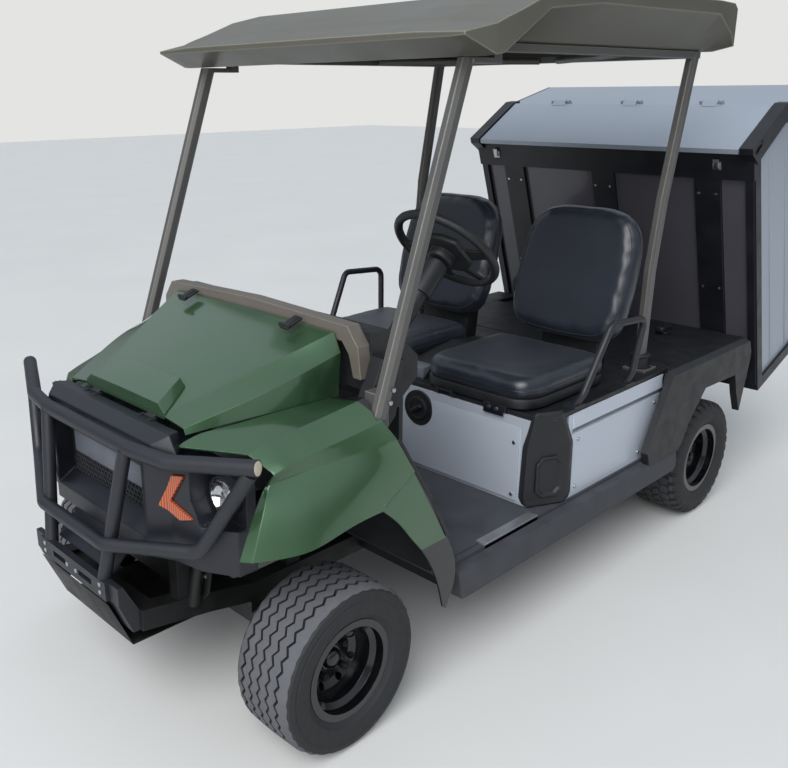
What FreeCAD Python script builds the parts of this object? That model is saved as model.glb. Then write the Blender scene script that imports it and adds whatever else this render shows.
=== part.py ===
"""Utility cart with roof canopy and leaning rear cargo box.

Millimetres. +X is the front of the cart, +Y its left side, +Z up, ground at z = 0.
Every form is drawn with x = 0 on the front axle and moved by X_AXLE when it is written.
"""
import FreeCAD, Part
import math
import os

V = FreeCAD.Vector

# Length
WHEELBASE = 2000.0
FRONT_OVERHANG = 460.0
REAR_OVERHANG = 978.5
FOOTWALL_X = -345.0
SEAT_AHEAD = 1140.0

# Width
TRACK = 1020.0
BODY_Y = 640.0
RAIL_Y = 210.0
SEAT_Y = 298.0
SEAT_W = 486.0
COLUMN_Y = 290.0
DECK_Y = 500.0

# Height, from the ground up
TYRE_R = 237.0
SPRING_H = 53.0
RAIL_H = 60.0
FLOOR_RISE = 20.0
FLOOR_T = 20.0
SEAT_BOX_H = 310.0
ROOF_RISE = 1100.0

# Wheels and running gear
TYRE_W = 215.0
LUG_ROWS = 22
LUG_H = 8.0
RIM_R = 127.0
RIM_LIP = 15.0
LUG_CIRCLE_R = 50.8
SPINDLE_R = 17.0
KINGPIN_INSET = 112.0
KINGPIN_R = 10.0
RAIL_W = 50.0

# Steering and pedals
COLUMN_TILT = 45.0
STEER_R = 180.0
SHAFT_R = 12.0
PEDAL_PIN_R = 6.0
PEDALS = [("brake", 330.0, 45.0), ("drive", 215.0, 30.0)]

# Cargo box
BOX_LEAN = 19.0
BOX_DEPTH = 600.0
BOX_HEIGHT = 1040.0
BOX_Y = 640.0
BOX_WALL = 8.0
LID_Y = 594.0

# Sheet, tube and fits
PANEL_T = 6.0
WING_T = 14.0
GUARD_TUBE_R = 20.0
STRUT_W, STRUT_D = 34.0, 46.0
FIT = 0.3
GAP = 6.0

# Levels and lines that follow from the sizes
AXLE_Z = TYRE_R
RAIL_Z = AXLE_Z + SPRING_H
RAIL_TOP = RAIL_Z + RAIL_H
FLOOR_Z = RAIL_TOP + FLOOR_RISE + FLOOR_T
DECK_Z = FLOOR_Z + SEAT_BOX_H
BASE_T = 16.0
BASE_Z = DECK_Z - BASE_T
ROOF_Z = DECK_Z + ROOF_RISE
REAR_X = -WHEELBASE
SEAT_X = REAR_X + SEAT_AHEAD
X_AXLE = (WHEELBASE + REAR_OVERHANG - FRONT_OVERHANG) / 2.0
KINGPIN_Y = TRACK / 2.0 - KINGPIN_INSET
RIM_FLANGE_R = RIM_R + RIM_LIP
PANEL_Y = BODY_Y - 46.0
SILL_TOP = FLOOR_Z - 16.0
WHEEL_HUB = V(FOOTWALL_X - 370.0, COLUMN_Y, DECK_Z + 520.0)
HOOD_FRONT, HOOD_REAR = 262.0, -170.0
HOOD_PIN = V(HOOD_FRONT + GAP, 0.0, RAIL_TOP + 544.0)
SEAT_PIN = V(SEAT_X + 8.0, 0.0, DECK_Z + 7.0)
PEDAL_PIN = V(FOOTWALL_X - 17.0, 0.0, FLOOR_Z + 362.0)
BOX_FOOT = V(REAR_X - REAR_OVERHANG + BOX_DEPTH * math.cos(math.radians(BOX_LEAN)), 0.0, RAIL_TOP + 87.0)
LID_PIN = V(-268.0, 0.0, BOX_HEIGHT + 128.0)
HOOD_HINGES = (-140.0, 140.0)
LID_HINGES = (-350.0, 0.0, 350.0)
GUARD_FOOT_X = 390.0
STRUT_FOOT = V(-147.0, 552.0, RAIL_TOP + 540.0)
STRUT_HEAD = V(-460.0, 547.0, ROOF_Z - 37.0)
GRILLE_X, GRILLE_Y = 300.0, 232.0
LAMP_X, LAMP_Y, LAMP_Z, LAMP_R = 232.0, 425.0, 415.0, 50.0
PORT_Y, PORT_R = 72.0, 56.0
NOSE_PLAN = [(204, 488), (258, 486), (285, 440), (307, 400), (327, 306), (359, 245)]


# Small builders
def box(x0, x1, y0, y1, z0, z1):
    return Part.makeBox(x1 - x0, y1 - y0, z1 - z0, V(x0, y0, z0))


def span(side, a, b):
    """The two y values of a piece between a and b out from the middle, on one side."""
    return sorted((side * a, side * b))


def prism(points, axis, low, high):
    """Straight prism; the points lie on the two axes left over, in x, y, z order."""
    place = {"x": lambda a, b: V(low, a, b), "y": lambda a, b: V(a, low, b), "z": lambda a, b: V(a, b, low)}[axis]
    wire = Part.makePolygon([place(a, b) for a, b in points] + [place(*points[0])])
    way = {"x": V(high - low, 0, 0), "y": V(0, high - low, 0), "z": V(0, 0, high - low)}[axis]
    return Part.Face(wire).extrude(way)


def raised(points, level):
    """Rows of (x, z) or (y, z) with z counted from a level."""
    return [(a, b + level) for a, b in points]


def loop(points):
    pts = [V(*p) for p in points]
    return Part.makePolygon(pts + [pts[0]])


def loft(sections):
    return Part.makeLoft([loop(s) for s in sections], True, True)


def cylinder(start, end, radius):
    way = end.sub(start)
    return Part.makeCylinder(radius, way.Length, start, way)


def cross_pin(x, y0, y1, z, radius):
    """Round bar across the cart."""
    return cylinder(V(x, y0, z), V(x, y1, z), radius)


def bent_wire(points, bend):
    """Polyline whose corners are arcs of radius bend."""
    pts = [V(*p) for p in points]
    edges, last = [], pts[0]
    for i in range(1, len(pts) - 1):
        a, b, c = pts[i - 1], pts[i], pts[i + 1]
        u, w = a.sub(b).normalize(), c.sub(b).normalize()
        half = u.getAngle(w) / 2.0
        reach = bend / math.tan(half)
        p, q = b.add(u * reach), b.add(w * reach)
        middle = b.add(u.add(w).normalize() * (bend / math.sin(half) - bend))
        if p.sub(last).Length > 0.01:
            edges.append(Part.LineSegment(last, p).toShape())
        edges.append(Part.Arc(p, middle, q).toShape())
        last = q
    edges.append(Part.LineSegment(last, pts[-1]).toShape())
    return Part.Wire(edges)


def tube(points, radius, bend):
    path = bent_wire(points, bend)
    first, second = V(*points[0]), V(*points[1])
    ring = Part.Wire([Part.makeCircle(radius, first, second.sub(first))])
    return path.makePipeShell([ring], True, False)


def fuse(shapes):
    out = shapes[0]
    for s in shapes[1:]:
        out = out.fuse(s)
    return out.removeSplitter()


def mirror(shape):
    return shape.mirror(V(0, 0, 0), V(0, 1, 0))


def turned(profile, centre, side):
    """Ring turned about the wheel axle; profile rows are (radius, outward)."""
    pts = [V(centre[0], side * (centre[1] + out), centre[2] + r) for r, out in profile]
    face = Part.Face(Part.makePolygon(pts + [pts[0]]))
    return face.revolve(V(centre[0], 0, centre[2]), V(0, 1, 0), 360)


def faceted(triangles):
    """Closed solid from flat triangles."""
    faces = [Part.Face(Part.makePolygon([V(*a), V(*b), V(*c), V(*a)])) for a, b, c in triangles]
    shell = Part.makeShell(faces)
    shell.sewShape()
    solid = Part.makeSolid(shell)
    if solid.Volume < 0:
        solid.reverse()
    return solid.removeSplitter()


def quad(a, b, c, d):
    return [(a, b, c), (a, c, d)]


def fair(a, b, c, d):
    """Four-cornered facet split along the diagonal that bends it less."""
    def bend(triangles):
        p, q = (V(*t[1]).sub(V(*t[0])).cross(V(*t[2]).sub(V(*t[0]))) for t in triangles)
        return p.getAngle(q)
    return min(quad(a, b, c, d), quad(b, c, d, a), key=bend)


def stack(rings):
    """Closed solid through rings of equal length, with fans over the first and last ring."""
    out = []
    n = len(rings[0])
    for low, high in zip(rings, rings[1:]):
        for i in range(n):
            j = (i + 1) % n
            out += quad(low[i], low[j], high[j], high[i])
    for ring, flip in ((rings[0], True), (rings[-1], False)):
        middle = tuple(sum(p[k] for p in ring) / n for k in range(3))
        for i in range(n):
            a, b = ring[i], ring[(i + 1) % n]
            out.append((middle, b, a) if flip else (middle, a, b))
    return faceted(out)


def sheet(outer, inner):
    """Thin faceted panel between two grids of points with the same rows and columns."""
    out = []
    rows, cols = len(outer), len(outer[0])
    for r in range(rows - 1):
        for c in range(cols - 1):
            out += fair(outer[r][c], outer[r][c + 1], outer[r + 1][c + 1], outer[r + 1][c])
            out += fair(inner[r][c], inner[r + 1][c], inner[r + 1][c + 1], inner[r][c + 1])
        for c, flip in ((0, False), (cols - 1, True)):
            a, b, p, q = outer[r][c], outer[r + 1][c], inner[r + 1][c], inner[r][c]
            out += quad(b, a, q, p) if flip else quad(a, b, p, q)
    for c in range(cols - 1):
        for r, flip in ((0, True), (rows - 1, False)):
            a, b, p, q = outer[r][c], outer[r][c + 1], inner[r][c + 1], inner[r][c]
            out += quad(b, a, q, p) if flip else quad(a, b, p, q)
    return faceted(out)


def both(half):
    """Row of (y, z) from the middle out to the left edge, made symmetric."""
    return [(-y, z) for y, z in reversed(half) if y > 0] + list(half)


# Wheels
def tyre(centre, side, crown=TYRE_R):
    w = TYRE_W / 2.0
    belly = (RIM_FLANGE_R + crown) / 2.0
    half = [(RIM_R, w - 20), (RIM_FLANGE_R, w - 20), (RIM_FLANGE_R + 8, w - 11), (belly, w),
            (crown - 24, w - 2), (crown - 6, w - 15), (crown, w - 45)]
    return turned([(r, -out) for r, out in half] + list(reversed(half)), centre, side)


def lugged_tyre(centre, side):
    """Tyre with staggered lugs over both shoulders."""
    w, crown = TYRE_W / 2.0, TYRE_R - LUG_H
    rows = [(crown - 4, 30), (TYRE_R - 0.5, 30), (TYRE_R - 3, w - 23), (crown - 15, w - 4), (crown - 21, w - 8)]
    step = 360.0 / LUG_ROWS
    lugs = []
    for way, start in ((1, 0.0), (-1, 0.5)):
        section = [(side * centre[1] + way * out, centre[2] + r) for r, out in rows]
        lug = prism(section, "x", centre[0] - 14, centre[0] + 14)
        for i in range(LUG_ROWS):
            one = lug.copy()
            one.rotate(V(*centre), V(0, 1, 0), (i + start) * step)
            lugs.append(one)
    return tyre(centre, side, crown).fuse(lugs).removeSplitter()


def rim(centre, side):
    """Deep-dish steel wheel with its hub; the web sits near the middle of the tyre."""
    w = TYRE_W / 2.0 - 20.0
    drop = RIM_R - 19.0
    outer = [(drop, w - 34), (RIM_R - 5, w - 22), (RIM_R - 5, w + 5), (RIM_FLANGE_R, w + 5), (RIM_FLANGE_R, w),
             (RIM_R, w), (RIM_R, w - 20), (drop + 5, w - 32)]
    inner = [(r, -out) for r, out in reversed(outer)]
    web = [(SPINDLE_R + FIT, -12), (SPINDLE_R + FIT, 14), (34, 14), (36, 4), (drop - 33, 4), (drop - 16, 16),
           (drop + 1, 16), (drop + 1, 11), (drop - 14, 11), (drop - 31, -2), (62, -4), (62, -12)]
    out = fuse([turned(outer + inner, centre, side), turned(web, centre, side)])
    y = side * centre[1]
    for i in range(8):
        a = math.radians(22.5 + 45 * i)
        x, z = centre[0] + (drop - 24) * math.cos(a), centre[2] + (drop - 24) * math.sin(a)
        out = out.cut(cross_pin(x, y - 30, y + 30, z, 10.0))
    for i in range(4):
        a = math.radians(45 + 90 * i)
        x, z = centre[0] + LUG_CIRCLE_R * math.cos(a), centre[2] + LUG_CIRCLE_R * math.sin(a)
        out = out.fuse(cross_pin(x, y + side * 2, y + side * 22, z, 9.0))
    return out.removeSplitter()


# Running gear
def knuckle(side):
    """Kingpin barrel with the spindle that carries the wheel and a steering arm behind."""
    y = side * KINGPIN_Y
    barrel = cylinder(V(0, y, AXLE_Z - 45), V(0, y, AXLE_Z + 45), KINGPIN_R + 12)
    spindle = cross_pin(0, y, side * (TRACK / 2 + 10), AXLE_Z, SPINDLE_R)
    a, b = span(side, KINGPIN_Y - 14, KINGPIN_Y)
    arm = box(-120, 0, a, b, AXLE_Z - 10, AXLE_Z + 10)
    pin = cylinder(V(0, y, AXLE_Z - 80), V(0, y, AXLE_Z + 80), KINGPIN_R - FIT)
    return fuse([barrel, spindle, arm, pin])


def front_axle():
    """Beam with a fork at each end round the kingpin, and springs up to the rails."""
    reach = KINGPIN_Y - 68
    parts = [box(-30, 30, -reach, reach, AXLE_Z - 25, AXLE_Z + 25)]
    for side in (-1, 1):
        a, b = span(side, reach - 5, KINGPIN_Y + 20)
        for z in (AXLE_Z - 68, AXLE_Z + 46):
            lug = box(-20, 20, a, b, z, z + 22)
            bore = cylinder(V(0, side * KINGPIN_Y, z - 1), V(0, side * KINGPIN_Y, z + 23), KINGPIN_R)
            parts.append(lug.cut(bore))
        a, b = span(side, reach - 5, reach + 15)
        parts.append(box(-20, 20, a, b, AXLE_Z - 68, AXLE_Z + 68))
        a, b = span(side, RAIL_Y - RAIL_W / 2, RAIL_Y + RAIL_W / 2)
        parts.append(box(-40, 40, a, b, AXLE_Z + 20, RAIL_Z))
    return fuse(parts)


def rear_axle():
    """Cross tube with a bowl for the gears, spring blocks under the rails, and end journals."""
    end = TRACK / 2 + 10
    tube_end = TRACK / 2 - 110
    parts = [cross_pin(REAR_X, -tube_end, tube_end, AXLE_Z, 35.0), cross_pin(REAR_X, -end, end, AXLE_Z, SPINDLE_R),
             Part.makeSphere(95.0, V(REAR_X, 0, AXLE_Z))]
    for side in (-1, 1):
        a, b = span(side, RAIL_Y - RAIL_W / 2, RAIL_Y + RAIL_W / 2)
        parts.append(box(REAR_X - 320, REAR_X + 320, a, b, RAIL_Z - 14, RAIL_Z))
        parts.append(box(REAR_X - 50, REAR_X + 50, a - 5, b + 5, AXLE_Z, RAIL_Z - 12))
    return fuse(parts)


def frame():
    """Two rails that rise at the nose, cross members, outriggers and stands for nose, deck and box."""
    rear = REAR_X - REAR_OVERHANG + 128
    under_box = [(BOX_FOOT.x + 31, RAIL_TOP - 5), (rear, RAIL_TOP - 5),
                 (rear, BOX_FOOT.z + (BOX_FOOT.x - rear) * math.tan(math.radians(BOX_LEAN)) - 1),
                 (BOX_FOOT.x, BOX_FOOT.z - 1), (BOX_FOOT.x + 16, BOX_FOOT.z - 1)]
    side_view = [(rear, RAIL_Z), (26, RAIL_Z), (180, RAIL_Z + 34), (GUARD_FOOT_X, RAIL_Z + 70),
                 (GUARD_FOOT_X, RAIL_TOP + 70), (180, RAIL_TOP + 34), (26, RAIL_TOP), (rear, RAIL_TOP)]
    parts = []
    for side in (-1, 1):
        a, b = span(side, RAIL_Y - RAIL_W / 2, RAIL_Y + RAIL_W / 2)
        parts.append(prism(side_view, "y", a, b))
        parts.append(prism(under_box, "y", a + 5, b - 5))
        parts.append(box(215, 275, a + 5, b - 5, RAIL_TOP + 20, RAIL_TOP + 221))
        parts.append(box(-150, -100, a + 5, b - 5, RAIL_TOP - 5, RAIL_TOP + 410))
        for x, top in ((SEAT_X - 620, BASE_Z), (REAR_X + 20, DECK_Z - 24)):
            parts.append(box(x - 20, x + 20, a + 5, b - 5, RAIL_TOP - 5, top))
    ties = [(350, 62), (150, 30), (FOOTWALL_X, 0), (SEAT_X + 60, 0), (SEAT_X - 640, 0), (REAR_X + 220, 0),
            (REAR_X - 300, 0), (rear + 30, 0)]
    for x, rise in ties:
        parts.append(box(x - 20, x + 20, -RAIL_Y, RAIL_Y, RAIL_Z + 8 + rise, RAIL_TOP - 8 + rise))
    for x in (FOOTWALL_X - 75, SEAT_X + 30, SEAT_X - 580):
        parts.append(box(x - 20, x + 20, -BODY_Y + 50, BODY_Y - 50, RAIL_Z + 12, FLOOR_Z - FLOOR_T))
    return fuse(parts)


def powertrain():
    """Plain block for the heavy drive unit, on a flange across the rails."""
    rear, front = SEAT_X - 540, SEAT_X - 140
    block = box(rear, front, -150, 150, RAIL_TOP, BASE_Z - 64)
    return fuse([block, box(rear, front, -RAIL_Y - 25, RAIL_Y + 25, RAIL_TOP, RAIL_TOP + 12)])


# Floor, sills and nose; z of the nose is counted from the rail tops
def floor():
    """Floor pan with its raised mat and the two sills, from the front wing to the rear wing."""
    edge = BODY_Y - 40
    parts = [box(SEAT_X - 40, FOOTWALL_X, -edge, edge, FLOOR_Z - FLOOR_T, FLOOR_Z - 4),
             box(SEAT_X + 12, FOOTWALL_X - 12, -edge + 22, edge - 22, FLOOR_Z - FLOOR_T, FLOOR_Z)]
    profile = [(-397, SILL_TOP), (-415, SILL_TOP - 90), (-430, SILL_TOP - 93), (REAR_X + 310, SILL_TOP - 86),
               (REAR_X + 290, SILL_TOP - 74), (REAR_X + 300, SILL_TOP)]
    for side in (-1, 1):
        a, b = span(side, edge - 60, edge)
        parts.append(box(REAR_X + 400, SEAT_X - 30, a, b, FLOOR_Z - FLOOR_T, FLOOR_Z - 4))
        a, b = span(side, edge - 6, BODY_Y - 6)
        parts.append(prism(profile, "y", a, b))
    return fuse(parts)


def hood():
    """Thin sloping panel with a raised boss at the front, on two hinge barrels."""
    rows = [(HOOD_REAR, [(0, 732), (366, 728), (392, 676), (382, 551)]),
            (40, [(0, 650), (278, 646), (373, 623), (385, 564)]),
            (HOOD_FRONT, [(0, 565), (186, 561), (284, 550), (291, 534)])]
    skin = []
    for x, half in rows:
        inner = [(max(y - 7, 0), z - 9) for y, z in half[:-1]] + [(half[-1][0] - 7, half[-1][1])]
        ring = both(half) + list(reversed(both(inner)))
        skin.append([(x, y, z + RAIL_TOP) for y, z in ring])
    boss = [(HOOD_FRONT - 2, [(200, 556), (200, 562), (178, 577)]), (165, [(150, 594), (150, 603), (136, 615)])]
    raised_boss = loft([[(x, y, z + RAIL_TOP) for y, z in [(-a, b) for a, b in half] + list(reversed(half))]
                        for x, half in boss])
    leaf = [(-28, 22), (-7, 16), (3, 1), (-3, -4), (-12, 4), (-28, 12)]
    parts = [loft(skin), raised_boss]
    for y in HOOD_HINGES:
        parts.append(cross_pin(HOOD_PIN.x, y - 20, y + 20, HOOD_PIN.z, 5.0))
        parts.append(prism([(HOOD_PIN.x + x, HOOD_PIN.z + z) for x, z in leaf], "y", y - 20, y + 20))
    return fuse(parts).cut(cross_pin(HOOD_PIN.x, -200, 200, HOOD_PIN.z, 2.5 + FIT))


def cowl():
    """Arched strip behind the hood, down to the wings on both sides."""
    outer = both([(0, 762), (410, 750), (450, 699), (461, 614)])
    inner = both([(0, 717), (390, 707), (416, 675), (433, 614)])
    return prism(raised(outer + list(reversed(inner)), RAIL_TOP), "x", HOOD_REAR - 49, HOOD_REAR - GAP)


def dash():
    """Instrument panel, the wall in front of the feet and the lugs of the pedals."""
    back, front = FOOTWALL_X, FOOTWALL_X + 15
    panel = raised([(-219, 734), (-306, 723), (-403, 635), (-403, 573), (back, 528), (back, 364),
                    (front, 364), (front, 497), (-219, 568)], RAIL_TOP)
    parts = [prism(panel, "y", -458, 458), box(back, front, -458, 458, FLOOR_Z - 4, RAIL_TOP + 380)]
    liner = [(back, 36), (front, 36), (front, 150), (-166, 470), (-174, 470), (back, 150)]
    for side in (-1, 1):
        a, b = span(side, 457, 499)
        cheek = [(-306, 650), (-219, 670), (-160, 548), (-153, 497), (-205, 440), (-270, 500)]
        parts.append(prism(raised(cheek, RAIL_TOP), "y", a, b))
        a, b = span(side, 457, BODY_Y - 60)
        parts.append(prism(raised(liner, RAIL_TOP), "y", a, b))
    for name, y, wide in PEDALS:
        for low, high in ((y - 20, y - 12), (y + 12, y + 20)):
            parts.append(box(PEDAL_PIN.x - 12, back + 5, low, high, PEDAL_PIN.z - 10, PEDAL_PIN.z + 10))
    out = fuse(parts).cut(box(-500, back - 8, -380, -140, RAIL_TOP + 573, RAIL_TOP + 615)).cut(cowl())
    for name, y, wide in PEDALS:
        out = out.cut(cross_pin(PEDAL_PIN.x, y - 30, y + 30, PEDAL_PIN.z, PEDAL_PIN_R + FIT))
    return out


def front_wing(side):
    """Faceted front wing; rows are stations from the cowl to the nose."""
    out = BODY_Y
    edges = [
        # seam with the hood, ridge, upper crease, groove, lower edge
        [(-170, 389, 550), (-134, 515, 584), (-136, 575, 540), (-160, out - 36, 494), (-222, out - 26, 385)],
        [(13, 391, 559), (9, 485, 552), (3, 548, 511), (7, out - 86, 470), (7, out - 18, 325)],
        [(150, 350, 543), (100, 466, 531), (90, 530, 493), (105, 524, 455), (165, out - 35, 290)],
        [(237, 304, 533), (151, 455, 520), (141, 520, 482), (173, 504, 446), (262, 543, 285)],
        [(288, 292, 496), (192, 448, 496), (168, 512, 466), (184, 500, 440), (276, 514, 281)],
    ]
    back = [0, 0, 0, 6, 12]
    outer = [[(x, y, z + RAIL_TOP) for x, y, z in row] for row in edges]
    inner = [[(x - b, y - WING_T if i > 1 else y, z - WING_T if i < 4 else z) for i, (x, y, z) in enumerate(row)]
             for row, b in zip(outer, back)]
    outline = [(-163, 492), (-30, 486), (7, 325), (-97, 321), (-160, 266), (-203, 201), (-243, 160), (-302, 57),
               (-324, -49), (-336, -57), (-404, 45), (-280, 289)]
    leg = prism(raised(outline, RAIL_TOP), "y", 500, 700)
    face = raised([(out - 20, -120), (out, -60), (out - 30, 492), (out - 50, 492), (out - 20, -60)], RAIL_TOP)
    leg = leg.common(prism(face[1:], "x", -450, 50))
    rake = (STRUT_HEAD.x - STRUT_FOOT.x) / (STRUT_HEAD.z - STRUT_FOOT.z)
    gap, wide = STRUT_D / 2 + 3, STRUT_W / 2 + 3
    notch = prism([(STRUT_FOOT.x + rake * up + reach, STRUT_FOOT.z + up)
                   for up, reach in ((-15, -gap), (-15, gap), (80, gap), (80, -gap))],
                  "y", STRUT_FOOT.y - wide, STRUT_FOOT.y + wide)
    shape = fuse([sheet(outer, inner), leg]).cut(notch)
    return shape if side > 0 else mirror(shape)


def mirrored_plan(half):
    """Plan outline in (x, y) from its left half."""
    return list(half) + [(x, -y) for x, y in reversed(half)]


def fascia():
    """Nose panel with the grille recess, lamp pockets, the deep lip and the hood's hinge lugs."""
    low, shelf, top = RAIL_TOP + 221, RAIL_TOP + 340, RAIL_TOP + 480
    parts = [prism(mirrored_plan(NOSE_PLAN), "z", low, shelf),
             prism(mirrored_plan([(204, 400)] + NOSE_PLAN[3:]), "z", shelf, top),
             prism(mirrored_plan([(204, 280), (325, 280), (345, 240)]), "z", top, top + 25)]
    for side in (-1, 1):
        a, b = span(side, 399, 488)
        parts.append(box(204, LAMP_X, a, b, shelf, top))
    pocket = [(372, 481), (372, 400), (390, 362), (398, 341), (500, 341), (500, 481)]
    tray = [(GRILLE_X, 485), (GRILLE_X, 305), (400, 243), (400, 485)]
    body = fuse(parts).cut(prism(raised(tray, RAIL_TOP), "y", -GRILLE_Y, GRILLE_Y))
    for side in (-1, 1):
        body = body.cut(prism([(side * y, z + RAIL_TOP) for y, z in pocket], "x", LAMP_X, 400)).cut(marker(side))
    lip = loft([[(x, y, z + RAIL_TOP) for y, z in ((-a, 503), (a, 503), (b, c), (-b, c))]
                for x, a, b, c in ((HOOD_PIN.x + 7, 292, 280, 545), (311, 324, 296, 548), (347, 273, 267, 525))])
    splash = [(335, 225), (350, 225), (418, 153), (412, 147)]
    parts = [body, lip, prism(raised(splash, RAIL_TOP), "y", -145, 145),
             box(204, 212, -276, 276, top + 24, RAIL_TOP + 545)]
    for y in HOOD_HINGES:
        for a, b in ((y - 31, y - 21), (y + 21, y + 31)):
            parts.append(box(HOOD_PIN.x, HOOD_PIN.x + 20, a, b, HOOD_PIN.z - 5, HOOD_PIN.z + 5))
            parts.append(cross_pin(HOOD_PIN.x, a, b, HOOD_PIN.z, 5.0))
        parts.append(cross_pin(HOOD_PIN.x, y - 31, y + 31, HOOD_PIN.z, 2.5))
    return fuse(parts)


def grille():
    """Grille with three rows of six-sided openings under one plain raised bar."""
    y = GRILLE_Y - 1
    plate = box(GRILLE_X, GRILLE_X + 8, -y, y, RAIL_TOP + 306, RAIL_TOP + 484)
    pitch, reach = 32.0, 14.0
    for row, count in ((0, 12), (1, 11), (2, 12)):
        z = RAIL_TOP + 328 + row * pitch * math.sin(math.radians(60))
        for i in range(count):
            middle = (i - (count - 1) / 2.0) * pitch
            cell = [(middle + reach * math.sin(math.radians(60 * k)), z + reach * math.cos(math.radians(60 * k)))
                    for k in range(6)]
            plate = plate.cut(prism(cell, "x", GRILLE_X - 1, GRILLE_X + 9))
    return fuse([plate, box(GRILLE_X + 7, GRILLE_X + 16, 40 - y, y - 40, RAIL_TOP + 408, RAIL_TOP + 462)])


def headlamp(side):
    y, z = side * LAMP_Y, RAIL_TOP + LAMP_Z
    return fuse([cylinder(V(LAMP_X, y, z), V(LAMP_X + 20, y, z), LAMP_R),
                 cylinder(V(LAMP_X + 20, y, z), V(LAMP_X + 28, y, z), LAMP_R - 8)])


def marker(side):
    """Angled light strip let into the slanted face beside the lamp, pointing at the middle."""
    bar = [(323, 458), (361, 465), (313, 389), (382, 357), (342, 345), (282, 372)]
    plan = [(x - 14, y) for x, y in NOSE_PLAN[3:]] + [(x + 7, y) for x, y in reversed(NOSE_PLAN[3:])]
    strip = prism(raised(bar, RAIL_TOP), "x", 280, 380).common(prism(plan, "z", RAIL_TOP + 340, RAIL_TOP + 480))
    return strip if side > 0 else mirror(strip)


def brush_guard():
    """Bent top and lower tubes tied by two uprights, standing on the bumper plate."""
    r = GUARD_TUBE_R - 2
    nose = FRONT_OVERHANG - r
    top = [(259, 572, 534), (353, 348, 507), (379, 210, 510)]
    low = [(266, 552, 516), (327, 424, 290), (nose, 165, 254)]

    def across(half, radius):
        path = half + [(x, -y, z) for x, y, z in reversed(half)]
        return tube([(x, y, z + RAIL_TOP) for x, y, z in path], radius, 60.0)

    plate_x = FRONT_OVERHANG - 3
    parts = [across(top, GUARD_TUBE_R), across(low, r), box(plate_x - 20, plate_x, -178, 178, RAIL_TOP + 100,
                                                           RAIL_TOP + 152)]
    foot = [(GUARD_FOOT_X, 12), (GUARD_FOOT_X + 22, 12), (plate_x - 10, 100), (plate_x - 10, 152),
            (plate_x - 25, 152), (GUARD_FOOT_X, 68)]
    for side in (-1, 1):
        parts.append(cylinder(V(383, side * 205, RAIL_TOP + 505), V(nose - 2, side * 144, RAIL_TOP + 140), r))
        a, b = span(side, 150, RAIL_Y + 15)
        parts.append(prism(raised(foot, RAIL_TOP), "y", a, b))
    out = fuse(parts)
    for side in (-1, 1):
        a, b = span(side, 36, 106)
        out = out.cut(box(plate_x - 30, plate_x + 5, a, b, RAIL_TOP + 118, RAIL_TOP + 134))
    return out


# Seat box, seats and rear wings
def seat_panels():
    """Pale front panel and side panels of the seat box."""
    low, step = FLOOR_Z - 4, SEAT_X - 140
    parts = [box(SEAT_X - PANEL_T, SEAT_X, -538, 538, low, BASE_Z),
             box(REAR_X + 394, REAR_X + 394 + PANEL_T, 4 - PANEL_Y, PANEL_Y - 4, low, BASE_Z)]
    side_view = [(step + 9, low), (step + 9, BASE_Z), (REAR_X + 388, BASE_Z), (REAR_X + 460, low)]
    for side in (-1, 1):
        a, b = span(side, PANEL_Y - 8, PANEL_Y)
        panel = prism(side_view, "y", a, b)
        a, b = span(side, PANEL_Y - 3, PANEL_Y + 1)
        parts.append(panel.cut(box(REAR_X, SEAT_X, a, b, FLOOR_Z + 224, FLOOR_Z + 231)))
        a, b = span(side, 530, 538)
        parts.append(box(step, SEAT_X, a, b, low, BASE_Z))
        a, b = span(side, 530, PANEL_Y - 4)
        parts.append(box(step, step + 8, a, b, low, BASE_Z))
    out = fuse(parts)
    return out.cut(cylinder(V(SEAT_X - 20, PORT_Y, DECK_Z - 88), V(SEAT_X + 20, PORT_Y, DECK_Z - 88), PORT_R + FIT))


def port_cover():
    """Round black cap in the front panel."""
    z = DECK_Z - 88
    return fuse([cylinder(V(SEAT_X - 12, PORT_Y, z), V(SEAT_X, PORT_Y, z), PORT_R),
                 cylinder(V(SEAT_X + FIT, PORT_Y, z), V(SEAT_X + 8, PORT_Y, z), PORT_R + 8),
                 cylinder(V(SEAT_X - 1, PORT_Y, z), V(SEAT_X + 14, PORT_Y, z), PORT_R - 14)])


def corner_piece(side):
    """Black eight-sided corner cover of the seat box, wrapped round its front edge."""
    face, out = SEAT_X + FIT, PANEL_Y + 10
    front = [(550, 16), (534, -30), (503, -300), (510, -307), (out, -307), (out, 20), (592, 20)]
    flank = [(face + 14, 20), (SEAT_X - 94, -18), (SEAT_X - 148, -101), (SEAT_X - 160, -283), (SEAT_X, -307),
             (face + 14, -290)]
    low, high, inside = DECK_Z - 307, DECK_Z + 20, PANEL_Y + FIT
    plan = [(face + 14, 503), (face + 14, 548), (face - 47, out), (SEAT_X - 160, out), (SEAT_X - 160, inside),
            (face - 51, inside), (face, 543), (face, 503)]
    shape = prism(plan, "z", low, high).common(prism(raised(front, DECK_Z), "x", SEAT_X - 170, face + 14))
    shape = shape.common(prism(raised(flank, DECK_Z), "y", 500, out))
    return shape if side > 0 else mirror(shape)


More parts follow.
